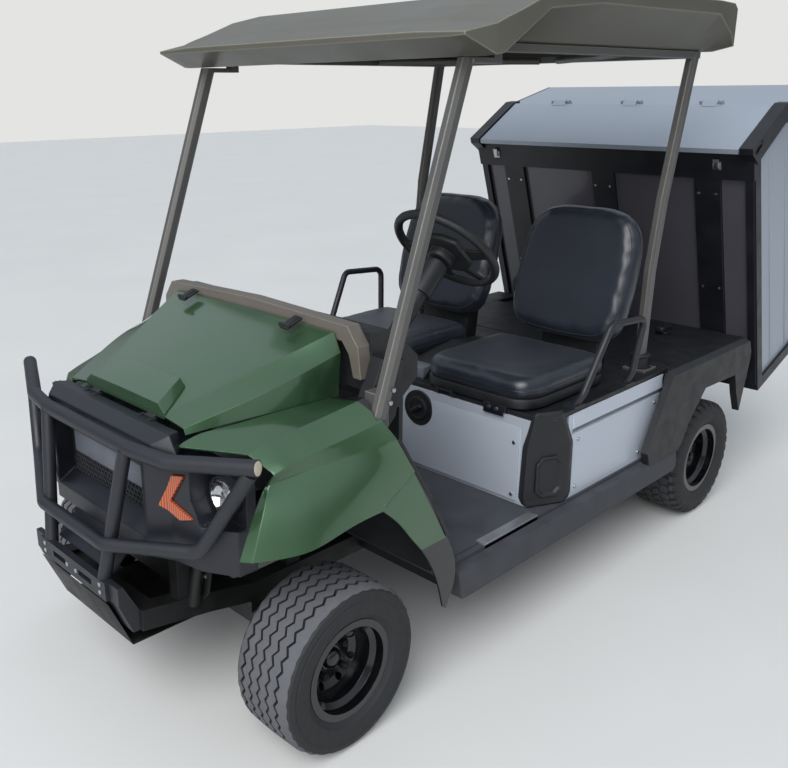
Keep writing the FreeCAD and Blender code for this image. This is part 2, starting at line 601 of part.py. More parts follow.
def seat_base():
    """Black moulded top of the seat box with the console and the deck behind the seats."""
    plan = [(REAR_X + 360, PANEL_Y - 2), (SEAT_X - 54, PANEL_Y - 2), (SEAT_X - PANEL_T, 541)]
    top = prism(mirrored_plan(plan), "z", BASE_Z, DECK_Z)
    for side in (-1, 1):
        a, b = span(side, SEAT_Y - 190, SEAT_Y + 190)
        top = top.cut(box(SEAT_X - 440, SEAT_X - 40, a, b, BASE_Z - 4, DECK_Z + 5))
    deck = box(REAR_X - 80, REAR_X + 360, -DECK_Y, DECK_Y, DECK_Z - 24, DECK_Z + 2)
    rear = box(REAR_X - 305, REAR_X - 80, -DECK_Y, DECK_Y, DECK_Z - 24, DECK_Z - 10)
    hump = [(SEAT_X - 40, 0), (SEAT_X - 470, 0), (SEAT_X - 470, 60), (SEAT_X - 320, 75), (SEAT_X - 100, 45)]
    parts = [top, deck, rear, prism(raised(hump, DECK_Z), "y", -50, 50)]
    lug = [(-20, -10), (-2, -16), (14, 0), (14, 13), (2, 13), (-20, 0)]
    for side in (-1, 1):
        for y in (side * SEAT_Y - 110, side * SEAT_Y + 110):
            for low, high in ((y - 36, y - 26), (y + 26, y + 36)):
                parts.append(prism([(SEAT_X + x, DECK_Z + z) for x, z in lug], "y", low, high))
            parts.append(cross_pin(SEAT_PIN.x, y - 36, y + 36, SEAT_PIN.z, 3.0))
    return fuse(parts)


def cushion(side):
    """Seat pad that tips forward on two barrels below its front edge."""
    y0, y1 = side * SEAT_Y - SEAT_W / 2, side * SEAT_Y + SEAT_W / 2

    def ring(z, inset, tail):
        front, rear = SEAT_X + 22 - inset, SEAT_X - 480 + tail
        return [(front, y0 + 72 + inset, z), (front, y1 - 72 - inset, z), (front - 30, y1 - 30 - inset, z),
                (front - 90, y1 - inset, z), (rear + 50, y1 - inset, z), (rear, y1 - 60, z), (rear, y0 + 60, z),
                (rear + 50, y0 + inset, z), (front - 90, y0 + inset, z), (front - 30, y0 + 30 + inset, z)]

    parts = [stack([ring(DECK_Z + z, inset, tail) for z, inset, tail in
                    ((16, 12, 12), (38, 12, 12), (44, 2, 2), (60, 0, 0), (88, 4, 4), (112, 44, 30))])]
    for y in (side * SEAT_Y - 110, side * SEAT_Y + 110):
        parts.append(cross_pin(SEAT_PIN.x, y - 20, y + 20, SEAT_PIN.z, 6.5))
        parts.append(box(SEAT_PIN.x - 23, SEAT_PIN.x, y - 20, y + 20, SEAT_PIN.z + 1, DECK_Z + 20))
    parts.append(box(SEAT_X - 468, SEAT_X - 2, y0 + 40, y1 - 40, DECK_Z + 6, DECK_Z + 17))
    out = fuse(parts)
    for y in (side * SEAT_Y - 110, side * SEAT_Y + 110):
        for low, high in ((y - 42, y - 20.5), (y + 20.5, y + 42)):
            out = out.cut(box(SEAT_X - 27, SEAT_X + 20, low, high, DECK_Z, DECK_Z + 21))
    return out.cut(cross_pin(SEAT_PIN.x, y0, y1, SEAT_PIN.z, 3.0 + FIT))


def seat_back(side):
    """Rounded back on a post that stands on the seat base."""
    c, k = side * SEAT_Y, SEAT_W / 486.0
    half = [(150, -20), (212, 6), (243, 70), (252, 180), (250, 290), (234, 384), (192, 452), (130, 488)]
    outline = [(y * k, h) for y, h in half] + [(-y * k, h) for y, h in reversed(half)]
    lean_back = math.radians(16.0)

    def layer(depth, shrink):
        out = []
        for y, h in outline:
            grow = shrink + h * (1 - 2 * shrink / half[-1][1])
            out.append((SEAT_X - 485 - depth * math.cos(lean_back) - grow * math.sin(lean_back),
                        c + y * (1 - shrink / 250.0),
                        DECK_Z + 135 - depth * math.sin(lean_back) + grow * math.cos(lean_back)))
        return out

    pad = stack([layer(0, 30), layer(22, 0), layer(70, 0), layer(90, 25)])
    post = [(SEAT_X - 560, 0), (SEAT_X - 640, 0), (SEAT_X - 685, 350), (SEAT_X - 625, 350)]
    return fuse([pad, prism(raised(post, DECK_Z), "y", c - 120, c + 120)])


def hip_rail(side):
    """Bent rod beside the seat, on two plates."""
    out = PANEL_Y + 12
    path = [(-181, out - 30, 0), (-192, out - 6, 45), (-303, out + 12, 258), (-519, out + 12, 242),
            (-502, out - 6, 50), (-500, out - 30, 0)]
    rail = tube([(SEAT_X + x, side * y, DECK_Z + z) for x, y, z in path], 12.0, 34.0)
    a, b = span(side, out - 52, out - 8)
    rail = rail.cut(box(SEAT_X - 700, SEAT_X, -BODY_Y, BODY_Y, DECK_Z - 50, DECK_Z))
    plates = [box(SEAT_X + x - 30, SEAT_X + x + 30, a, b, DECK_Z, DECK_Z + 8) for x in (-181, -500)]
    return fuse([rail] + plates)


def rear_wing(side):
    """Angular rear wing with a straight-cut arch and a chamfered top edge."""
    top, low = DECK_Z + 3, SILL_TOP + FIT
    outline = [(389, top), (-250, top), (-282, FLOOR_Z + 250), (-280, FLOOR_Z + 213), (-232, FLOOR_Z + 2),
               (-185, FLOOR_Z + 90), (-150, FLOOR_Z + 178), (116, FLOOR_Z + 186), (224, FLOOR_Z + 83),
               (275, FLOOR_Z + 2), (300, low), (520, low), (538, FLOOR_Z + 32)]
    skin = prism([(REAR_X + x, z) for x, z in outline], "y", BODY_Y - 28, BODY_Y)
    cover = box(REAR_X - 250, REAR_X + 359, DECK_Y, BODY_Y - 20, top - 22, top)
    bevel = prism([(BODY_Y - 22, top + 1), (BODY_Y + 1, top - 16), (BODY_Y + 1, top + 1)], "x", REAR_X - 400,
                  REAR_X + 700)
    shape = fuse([skin, cover]).cut(bevel)
    return shape if side > 0 else mirror(shape)


# Canopy
def strut(points):
    """Flat-sided strut through a few points."""
    rows = []
    a, b = STRUT_W / 2.0, STRUT_D / 2.0
    for x, y, z in points:
        rows.append([(x + b, y - a * 0.5, z), (x + b, y + a * 0.5, z), (x + b * 0.5, y + a, z), (x - b * 0.5, y + a, z),
                     (x - b, y + a * 0.5, z), (x - b, y - a * 0.5, z), (x - b * 0.5, y - a, z), (x + b * 0.5, y - a, z)])
    return loft(rows)


def canopy_frame():
    """Four struts tied by rails and a cross brace under the roof."""
    parts = []
    low, high, rear, start = ROOF_Z - 22, ROOF_Z - FIT, REAR_X + 338, STRUT_HEAD.x - 90
    for side in (-1, 1):
        parts.append(strut([(p.x, side * p.y, p.z) for p in (STRUT_FOOT, STRUT_HEAD)]))
        a, b = span(side, DECK_Y, STRUT_FOOT.y - 12)
        parts.append(box(STRUT_FOOT.x - 53, STRUT_FOOT.x - 5, a, b, STRUT_FOOT.z - 40, STRUT_FOOT.z + 60))
        parts.append(strut([(rear + 100, side * 520, DECK_Z), (rear + 127, side * 540, DECK_Z + 374),
                            (rear + 101, side * 545, DECK_Z + 616), (rear + 4, side * 552, ROOF_Z - 26),
                            (rear, side * 552, ROOF_Z - 6)]))
        a, b = span(side, 536, 568)
        parts.append(box(rear - 20, start, a, b, low, high))
        parts.append(box(start - 30, STRUT_HEAD.x - 4, a, b, STRUT_HEAD.z - 14, STRUT_HEAD.z))
        parts.append(box(start - 30, start, a, b, STRUT_HEAD.z - 14, low + 5))
        a, b = span(side, 440, 566)
        parts.append(box(rear + 60, rear + 144, a + 40, b, DECK_Z, DECK_Z + 10))
    parts.append(box(rear - 15, rear + 25, -552, 552, low, high))
    parts.append(box(start - 40, start, -552, 552, low, high))
    return fuse(parts)


def roof():
    """Faceted canopy: front lip, raised crown, arched side edges and an open underside."""
    rows = [
        # x, bottom half width and height, side half width, its low and high edge, crown half width and height
        (-335, 600, 6, 640, 8, 16, 480, 22),
        (-440, 625, -36, 655, -34, 38, 500, 50),
        (-470, 600, -32, 656, -30, 50, 503, 65),
        (-535, 560, 0, 657, 9, 72, 505, 93),
        (-655, 560, 0, 658, 80, 117, 505, 130),
        (-890, 560, 0, 660, 103, 142, 505, 152),
        (REAR_X + 402, 560, 0, 660, 108, 148, 505, 162),
        (REAR_X + 300, 560, 0, 658, 50, 145, 500, 162),
        (REAR_X + 259, 580, 0, 650, 15, 130, 490, 155)]
    skin, hollow = [], []
    for x, yb, zb, ys, z0, z1, yt, zt in rows:
        half = [(yb, zb), (ys, z0), (ys, z1), (yt, zt)]
        skin.append([(x, -y, z + ROOF_Z) for y, z in half] + [(x, y, z + ROOF_Z) for y, z in reversed(half)])
    for x, yb, zb, ys, z0, z1, yt, zt in rows[2:8]:
        x += {rows[2][0]: 18, rows[7][0]: -29}.get(x, 0)
        half = [(yb - 20, zb - 8), (yb - 18, zb + 6), (ys - 18, z0 + 8), (ys - 18, z1 - 12), (yt - 8, zt - 11)]
        hollow.append([(x, -y, z + ROOF_Z) for y, z in half] + [(x, y, z + ROOF_Z) for y, z in reversed(half)])
    return loft(skin).cut(loft(hollow))


# Cargo box, drawn in its own upright frame and leaned at the end
def box_point(u, v, y=0.0):
    a = math.radians(BOX_LEAN)
    return V(BOX_FOOT.x - u * math.cos(a) + v * math.sin(a), y, BOX_FOOT.z + u * math.sin(a) + v * math.cos(a))


def lean(shape):
    """Own frame: x = -u (rearward), z = v; leaned forward about the front bottom edge."""
    shape.rotate(V(0, 0, 0), V(0, 1, 0), BOX_LEAN)
    shape.translate(BOX_FOOT)
    return shape


def box_profile(inset):
    """Side outline of the box below the lid, in (x, z) of its own frame."""
    return [(-inset, inset), (-inset, BOX_HEIGHT + 40 - inset), (-262, BOX_HEIGHT + 98 - inset),
            (-275, BOX_HEIGHT + 112.5 - inset), (-BOX_DEPTH + inset, BOX_HEIGHT + 80 - inset),
            (-BOX_DEPTH + inset, inset)]


def box_shell():
    """Pale box walls: bottom, rear, top behind the lid and both sides, with the lid's hinge lugs."""
    y = BOX_Y - 12
    body = prism(box_profile(0), "y", -y, y).cut(prism(box_profile(BOX_WALL), "y", BOX_WALL - y, y - BOX_WALL))
    body = body.cut(box(-16, 20, -BOX_Y, BOX_Y, -50, BOX_HEIGHT + 160))
    mouth = [(30, BOX_HEIGHT + 20), (30, BOX_HEIGHT + 360), (-255, BOX_HEIGHT + 360), (-255, BOX_HEIGHT + 60)]
    body = body.cut(prism(mouth, "y", BOX_WALL - y, y - BOX_WALL))
    parts = [body]
    lug = [(6, -28), (-22, -20), (-8, 6), (8, 6)]
    for y in LID_HINGES:
        for low, high in ((y - 46, y - 36), (y + 36, y + 46)):
            parts.append(prism([(LID_PIN.x + x, LID_PIN.z + z) for x, z in lug], "y", low, high))
        parts.append(cross_pin(LID_PIN.x, y - 46, y + 46, LID_PIN.z, 4.0))
    return lean(fuse(parts))


def box_frame():
    """Black edge frames on both ends, front sill, top rail, uprights and the caps beside the lid."""
    parts = []
    rail_low = BOX_HEIGHT - 75
    window = [(-45, 45), (-45, BOX_HEIGHT - 10), (-262, BOX_HEIGHT + 45), (-BOX_DEPTH + 45, BOX_HEIGHT + 30),
              (-BOX_DEPTH + 45, 45)]
    cap = [(0, BOX_HEIGHT - 12), (44, BOX_HEIGHT + 42), (44, BOX_HEIGHT + 66), (-258, BOX_HEIGHT + 128),
           (-300, BOX_HEIGHT + 118), (-300, BOX_HEIGHT + 100), (-40, BOX_HEIGHT + 30)]
    grip = [(-42, BOX_HEIGHT + 60), (-36, BOX_HEIGHT + 72), (24, BOX_HEIGHT + 58), (32, BOX_HEIGHT + 46),
            (26, BOX_HEIGHT + 34), (12, BOX_HEIGHT + 32), (-34, BOX_HEIGHT + 46)]
    for side in (-1, 1):
        a, b = span(side, BOX_Y - 12, BOX_Y)
        parts.append(prism(box_profile(0), "y", a, b).cut(prism(window, "y", a - 1, b + 1)))
        a, b = span(side, LID_Y + GAP, BOX_Y + 10)
        c, d = span(side, BOX_Y - 4, BOX_Y + 11)
        parts.append(prism(cap, "y", a, b).cut(box_walls()).cut(prism(grip, "y", c, d)))
    parts.append(box(-16, 0, -BOX_Y, BOX_Y, 0, 40))
    parts.append(box(-16, 12, -BOX_Y, BOX_Y, rail_low, BOX_HEIGHT + 36))
    for y, wide in ((GAP + 15 - BOX_Y, 15), (-455, 52), (0, 52), (455, 52), (BOX_Y - GAP - 15, 15)):
        parts.append(box(-8, 8, y - wide, y + wide, 30, rail_low + 5))
    return lean(fuse(parts))


def box_walls():
    """Room taken by the pale walls, for what is fitted round them."""
    y = BOX_Y - 12
    return prism(box_profile(0), "y", -y, y).cut(box(-16, 20, -BOX_Y, BOX_Y, -50, BOX_HEIGHT + 160))


def box_front():
    """Glossy front panel behind the uprights."""
    return lean(box(-16, -8, -BOX_Y + 12, BOX_Y - 12, 40, BOX_HEIGHT - 75))


def box_lid():
    """Sloped front-top lid, hinged along the crest."""
    skin = prism([(42, BOX_HEIGHT + 52), (-256, BOX_HEIGHT + 114), (-256, BOX_HEIGHT + 122), (42, BOX_HEIGHT + 61)],
                 "y", -LID_Y, LID_Y)
    front = box(30, 42, -LID_Y, LID_Y, BOX_HEIGHT + 42, BOX_HEIGHT + 60)
    parts = [skin, front]
    leaf = [(18, -12), (12, -7), (0, 4), (6, 8), (28, -8)]
    for y in LID_HINGES:
        parts.append(cross_pin(LID_PIN.x, y - 30, y + 30, LID_PIN.z, 8.0))
        parts.append(prism([(LID_PIN.x + x, LID_PIN.z + z) for x, z in leaf], "y", y - 30, y + 30))
    return lean(fuse(parts).cut(cross_pin(LID_PIN.x, -BOX_Y, BOX_Y, LID_PIN.z, 4.0 + FIT)))


# Steering and pedals
def column_point(d):
    """Point on the column axis, d mm down from the steering wheel hub."""
    a = math.radians(COLUMN_TILT)
    return V(WHEEL_HUB.x + d * math.cos(a), WHEEL_HUB.y, WHEEL_HUB.z - d * math.sin(a))


def steering_column():
    """Column tube with the switch barrel, cut off where it enters the dash."""
    out = fuse([cylinder(column_point(52), column_point(475), 26.0),
                cylinder(column_point(60), column_point(170), 36.0)])
    out = out.cut(cylinder(column_point(40), column_point(160), SHAFT_R + FIT)).cut(dash())
    return min(out.Solids, key=lambda s: s.BoundBox.XMin)


def steering_wheel():
    """Rim, hub, shaft and four spokes."""
    axis = column_point(1).sub(column_point(0))
    parts = [Part.makeTorus(STEER_R - 14, 14.0, column_point(0), axis),
             cylinder(column_point(-2), column_point(44), 42.0), cylinder(column_point(40), column_point(155), SHAFT_R)]
    across = V(0, 1, 0)
    upward = axis.cross(across).normalize()
    for angle in (0, 180, 235, 305):
        a = math.radians(angle)
        way = across * math.cos(a) + upward * math.sin(a)
        parts.append(cylinder(column_point(18).add(way * 30), column_point(4).add(way * (STEER_R - 16)), 8.0))
    return fuse(parts)


def pedal(y, wide):
    """Floor pedal hinged on a cross pin near the foot wall."""
    arm = [(8, 12), (-8, 12), (-62, -232), (-88, -312), (-76, -318), (-46, -232)]
    pad = [(-56, -232), (-68, -228), (-104, -312), (-92, -318)]
    place = lambda rows: [(PEDAL_PIN.x + x, PEDAL_PIN.z + z) for x, z in rows]
    return fuse([prism(place(arm), "y", y - 8, y + 8), prism(place(pad), "y", y - wide, y + wide),
                 cross_pin(PEDAL_PIN.x, y - 20, y + 20, PEDAL_PIN.z, PEDAL_PIN_R)])


def nodes():
    """Every piece by name."""
    out = {"frame": frame(), "front_axle": front_axle(), "rear_axle": rear_axle(), "powertrain": powertrain(),
           "floor": floor(), "hood": hood(), "cowl": cowl(), "dash": dash(), "fascia": fascia(),
           "grille": grille(), "brush_guard": brush_guard(), "seat_panels": seat_panels(),
           "port_cover": port_cover(), "seat_base": seat_base(), "canopy_frame": canopy_frame(), "roof": roof(),
           "box_shell": box_shell(), "box_frame": box_frame(), "box_front": box_front(), "box_lid": box_lid(),
           "steering_column": steering_column(), "steering_wheel": steering_wheel()}
    pairs = {"knuckle": knuckle, "front_wing": front_wing, "rear_wing": rear_wing, "headlamp": headlamp,
             "marker": marker, "corner": corner_piece, "cushion": cushion, "seat_back": seat_back,
             "hip_rail": hip_rail}
    for tag, side in (("left", 1), ("right", -1)):
        for name, make in pairs.items():
            out["%s_%s" % (name, tag)] = make(side)
        for end, x, make in (("front", 0.0, tyre), ("rear", REAR_X, lugged_tyre)):
            centre = (x, TRACK / 2, AXLE_Z)
            out["tyre_%s_%s" % (end, tag)] = make(centre, side)
            out["rim_%s_%s" % (end, tag)] = rim(centre, side)
    for name, y, wide in PEDALS:
        out["pedal_" + name] = pedal(y, wide)
    return out


os.makedirs("parts", exist_ok=True)
for name, shape in nodes().items():
    shape.translate(V(X_AXLE, 0, 0))
    shape.exportStep("parts/%s.step" % name)
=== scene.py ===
"""Looks of the utility cart: painted nose, treaded tyres, padded seats and the fittings of the cargo box.

Metres, in the frame of the part. A place written as at(x, y, z) is in millimetres from the front axle.
"""

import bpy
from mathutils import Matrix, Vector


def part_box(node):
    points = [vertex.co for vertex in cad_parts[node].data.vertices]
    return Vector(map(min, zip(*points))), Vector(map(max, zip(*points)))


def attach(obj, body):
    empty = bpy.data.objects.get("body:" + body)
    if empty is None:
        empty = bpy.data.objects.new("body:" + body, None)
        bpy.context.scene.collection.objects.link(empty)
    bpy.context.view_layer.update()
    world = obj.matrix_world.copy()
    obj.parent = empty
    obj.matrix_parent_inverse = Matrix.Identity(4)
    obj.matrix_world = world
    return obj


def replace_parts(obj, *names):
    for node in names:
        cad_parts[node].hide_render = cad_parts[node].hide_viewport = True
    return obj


bl_info = {
    "name": "Utility cart",
    "version": (1, 0, 0),
    "blender": (4, 5, 0),
    "location": "3D View > Sidebar > Cart",
    "description": "Dresses the utility cart and sets it on a pale studio floor",
    "category": "Object",
}

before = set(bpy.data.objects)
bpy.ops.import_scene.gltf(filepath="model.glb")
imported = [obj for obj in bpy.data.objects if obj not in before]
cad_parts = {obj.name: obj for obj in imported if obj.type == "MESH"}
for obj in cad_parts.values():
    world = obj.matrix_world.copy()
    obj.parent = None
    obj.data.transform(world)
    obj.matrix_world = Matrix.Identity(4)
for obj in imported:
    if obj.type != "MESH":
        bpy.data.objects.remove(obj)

import math

import bpy
from mathutils import Euler, Matrix, Vector

MM = 0.001
AXLE_X = sum(corner.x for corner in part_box("tyre_front_left")) / 2
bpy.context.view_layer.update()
SIDES = (("left", 1), ("right", -1))

# Places and angles that pieces share: millimetres from the front axle, and degrees where not turned into radians
HOOD_PIN_X, HOOD_PIN_Z = 268, 894
NOSE_RISE = 350
SEAT_Y = 298
DECK_Z = 702
BACK_RAKE = math.radians(16)
BOX_LEAN = 19
FRONT_PANEL_X = -860
PORT_Y, PORT_Z = 72, 612
COLUMN_TILT = 45

# Distances below which two points are one
SAME_POINT = 0.00002
SAME_CORNER = 0.0002
ON_LINE = 0.0005


def at(x, y, z):
    """Point given in millimetres from the front axle."""
    return Vector((AXLE_X + x * MM, y * MM, z * MM))


def placed(point, degrees, axis="Y"):
    """Matrix that turns a piece about the origin and then carries it to the point."""
    return Matrix.Translation(point) @ Matrix.Rotation(math.radians(degrees), 4, axis)


def turn_about(point, degrees, axis="Y"):
    """Matrix that turns a piece about the point."""
    return placed(point, degrees, axis) @ Matrix.Translation(-point)


def middle_of(node):
    """Middle of a node of the part."""
    low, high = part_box(node)
    return (low + high) / 2


BOX_PLACE = placed(at(-2411.19, 0, 437), BOX_LEAN)


# Modelling by hand
def alone(*pieces):
    """Selects only these pieces; the last one is active."""
    bpy.ops.object.select_all(action="DESELECT")
    for piece in pieces:
        piece.select_set(True)
        bpy.context.view_layer.objects.active = piece


def settle(name):
    """Names the new piece and puts its place into its mesh."""
    piece = bpy.context.object
    piece.name = piece.data.name = name
    alone(piece)
    bpy.ops.object.transform_apply(location=True, rotation=True, scale=True)
    return piece


def edited(piece, **steps):
    """Runs mesh operators on the whole piece, each named with its settings."""
    alone(piece)
    bpy.ops.object.mode_set(mode="EDIT")
    bpy.ops.mesh.select_mode(type="VERT")
    bpy.ops.mesh.select_all(action="SELECT")
    for name, settings in steps.items():
        getattr(bpy.ops.mesh, name)(**settings)
    bpy.ops.object.mode_set(mode="OBJECT")
    return piece


def finish_mesh(piece):
    """Merges doubles and points the faces outwards."""
    return edited(piece, remove_doubles={"threshold": SAME_POINT}, normals_make_consistent={"inside": False})


def apply_modifier(piece, kind, **settings):
    """Adds one modifier and applies it at once."""
    mod = piece.modifiers.new(kind.lower(), kind)
    for key, value in settings.items():
        setattr(mod, key, value)
    alone(piece)
    bpy.ops.object.modifier_apply(modifier=mod.name)
    return piece


def round_edges(piece, width, steps=2, angle=30):
    """Rounds the edges that turn by more than the angle, by a width in millimetres."""
    return apply_modifier(piece, "BEVEL", width=width * MM, segments=steps, limit_method="ANGLE",
                          angle_limit=math.radians(angle), use_clamp_overlap=True)


def block(name, low, high, edge=0.0, steps=2):
    """Box between two corners with rounded edges."""
    bpy.ops.mesh.primitive_cube_add(size=1, location=(low + high) / 2, scale=[abs(s) for s in high - low])
    piece = settle(name)
    return round_edges(piece, edge, steps) if edge else piece


def bar(name, start, end, radius, sides=24, edge=0.0):
    """Round or many-sided bar between two points."""
    way = end - start
    bpy.ops.mesh.primitive_cylinder_add(vertices=sides, radius=radius * MM, depth=way.length,
                                        location=(start + end) / 2,
                                        rotation=way.to_track_quat("Z", "Y").to_euler())
    piece = settle(name)
    return round_edges(piece, edge) if edge else piece


def chain(name, points):
    """Line of edges through the points, left in edit mode with all of it selected."""
    bpy.ops.mesh.primitive_plane_add(size=0.001, location=points[0])
    piece = settle(name)
    bpy.ops.object.mode_set(mode="EDIT")
    bpy.ops.mesh.select_mode(type="VERT")
    bpy.ops.mesh.select_all(action="SELECT")
    bpy.ops.mesh.merge(type="CENTER")
    for a, b in zip(points, points[1:]):
        bpy.ops.mesh.extrude_region_move(TRANSFORM_OT_translate={"value": b - a})
    bpy.ops.mesh.select_all(action="SELECT")
    return piece


def plate(name, outline, way, edge=0.0, steps=2):
    """Flat plate from its outline, pulled out along way."""
    piece = chain(name, outline)
    bpy.ops.mesh.edge_face_add()
    bpy.ops.mesh.extrude_region_move(TRANSFORM_OT_translate={"value": way})
    bpy.ops.object.mode_set(mode="OBJECT")
    finish_mesh(piece)
    return round_edges(piece, edge, steps) if edge else piece


def turned(name, rows, centre, axis=(0, 1, 0), steps=64):
    """Piece of revolution; rows are (radius, distance along the axis) in millimetres."""
    axis = Vector(axis).normalized()
    out = Vector((0, 0, 1)) if abs(axis.z) < 0.9 else Vector((1, 0, 0))
    out = (out - axis * out.dot(axis)).normalized()
    piece = chain(name, [centre + out * r * MM + axis * a * MM for r, a in rows])
    bpy.ops.mesh.spin(steps=steps, angle=math.tau, center=centre, axis=axis)
    bpy.ops.object.mode_set(mode="OBJECT")
    return finish_mesh(piece)


def pipe(name, points, radius, closed=False, order=3, sides=3, resolution=8):
    """Round tube along a smooth curve through the points."""
    bpy.ops.curve.primitive_nurbs_path_add(location=(0, 0, 0))
    piece = bpy.context.object
    piece.data.splines.clear()
    spline = piece.data.splines.new("NURBS")
    spline.points.add(len(points) - 1)
    for point, place in zip(spline.points, points):
        point.co = (*place, 1.0)
    spline.use_cyclic_u = closed
    spline.order_u = order
    spline.use_endpoint_u = not closed
    spline.resolution_u = resolution
    piece.data.bevel_depth = radius * MM
    piece.data.bevel_resolution = sides
    piece.data.use_fill_caps = not closed
    alone(piece)
    bpy.ops.object.convert(target="MESH")
    return settle(name)


def joined(name, pieces):
    """One piece from several, under a new name."""
    alone(*pieces)
    if len(pieces) > 1:
        bpy.ops.object.join()
    piece = bpy.context.object
    piece.name = piece.data.name = name
    return piece


def copied(piece, place, name=None):
    """Copy with its own mesh, moved by a matrix or a vector."""
    made = piece.copy()
    made.data = piece.data.copy()
    bpy.context.scene.collection.objects.link(made)
    made.data.transform(place if isinstance(place, Matrix) else Matrix.Translation(place))
    made.name = made.data.name = name or piece.name
    return made


def repeated(name, piece, places):
    """One piece from copies at all the places; the first model is used up."""
    made = [copied(piece, place) for place in places]
    bpy.data.objects.remove(piece)
    return joined(name, made)


def mirrored(piece, name):
    """The same piece on the other side of the cart."""
    return edited(copied(piece, Matrix.Scale(-1, 4, (0, 1, 0)), name), flip_normals={})


def on_side(piece, side, name):
    """Copy of a left piece, for the left side as it is and for the right side mirrored."""
    return copied(piece, Vector(), name) if side > 0 else mirrored(piece, name)


def net(name, rows):
    """Sheet of four-sided faces through rows of points, with its outer side up or outwards."""
    bpy.ops.mesh.primitive_grid_add(x_subdivisions=len(rows[0]) - 1, y_subdivisions=len(rows) - 1, size=1)
    piece = settle(name)
    for vertex, place in zip(piece.data.vertices, [place for row in rows for place in row]):
        vertex.co = place
    return piece


def pressed(name, nets, creases, thick):
    """Pressed or moulded skin from its nets; creases lists the lines that stay sharp and how sharp they are."""
    piece = edited(joined(name, nets), remove_doubles={"threshold": SAME_CORNER})
    largest = max(piece.data.polygons, key=lambda face: face.area)
    outwards = largest.normal.y if largest.center.y > 0 else -largest.normal.y
    if largest.normal.z + outwards < 0:
        edited(piece, flip_normals={})
    sharp = piece.data.attributes.new("crease_edge", "FLOAT", "EDGE")
    for line, amount in creases:
        for edge in piece.data.edges:
            ends = [piece.data.vertices[i].co for i in edge.vertices]
            if all(min((end - place).length for place in line) < ON_LINE for end in ends):
                sharp.data[edge.index].value = amount
    apply_modifier(piece, "SUBSURF", levels=3, render_levels=3, boundary_smooth="PRESERVE_CORNERS")
    return apply_modifier(piece, "SOLIDIFY", thickness=thick * MM, offset=-1)


def pick(piece, wanted):
    """Enters edit mode with only the vertices whose place passes the test selected."""
    alone(piece)
    bpy.ops.object.mode_set(mode="EDIT")
    bpy.ops.mesh.select_mode(type="VERT")
    bpy.ops.mesh.select_all(action="DESELECT")
    bpy.ops.object.mode_set(mode="OBJECT")
    for vertex in piece.data.vertices:
        vertex.select = wanted(vertex.co)
    bpy.ops.object.mode_set(mode="EDIT")


def put_on(piece, look="black_moulding", body="chassis", smooth=35):
    """Gives the piece its finish and the body that carries it: black plastic of the chassis, if nothing else is said.

    Edges that turn by less than smooth, in degrees, are shaded round.
    """
    piece.data.materials.clear()
    piece.data.materials.append(get_finish(look))
    alone(piece)
    bpy.ops.object.shade_smooth_by_angle(angle=math.radians(smooth))
    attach(piece, body)
    return piece


def bolts(name, feet, way, radius, sides, edge):
    """One piece of zinc-plated bolts that stand on the points and point along way, in millimetres."""
    made = [bar("bolt", foot, foot + Vector(way) * MM, radius, sides, edge) for foot in feet]
    put_on(joined(name, made), "zinc")


# Finishes
FLAKE_MM = 1.6
RIB_MM = 7
PAINT_FOOT_Z = 0.508


def linear(text, alpha=1.0):
    """Linear colour from an sRGB hex value."""
    values = [int(text[i:i + 2], 16) / 255 for i in (0, 2, 4)]
    return [v / 12.92 if v <= 0.04045 else ((v + 0.055) / 1.055) ** 2.4 for v in values] + [alpha]


def add(tree, kind, links=None, **settings):
    """One shader node with its settings; links sets or joins its inputs by name or number."""
    made = tree.nodes.new("ShaderNode" + kind)
    for key, value in settings.items():
        setattr(made, key, value)
    for key, value in (links or {}).items():
        if isinstance(value, bpy.types.NodeSocket):
            tree.links.new(value, made.inputs[key])
        else:
            made.inputs[key].default_value = value
    return made


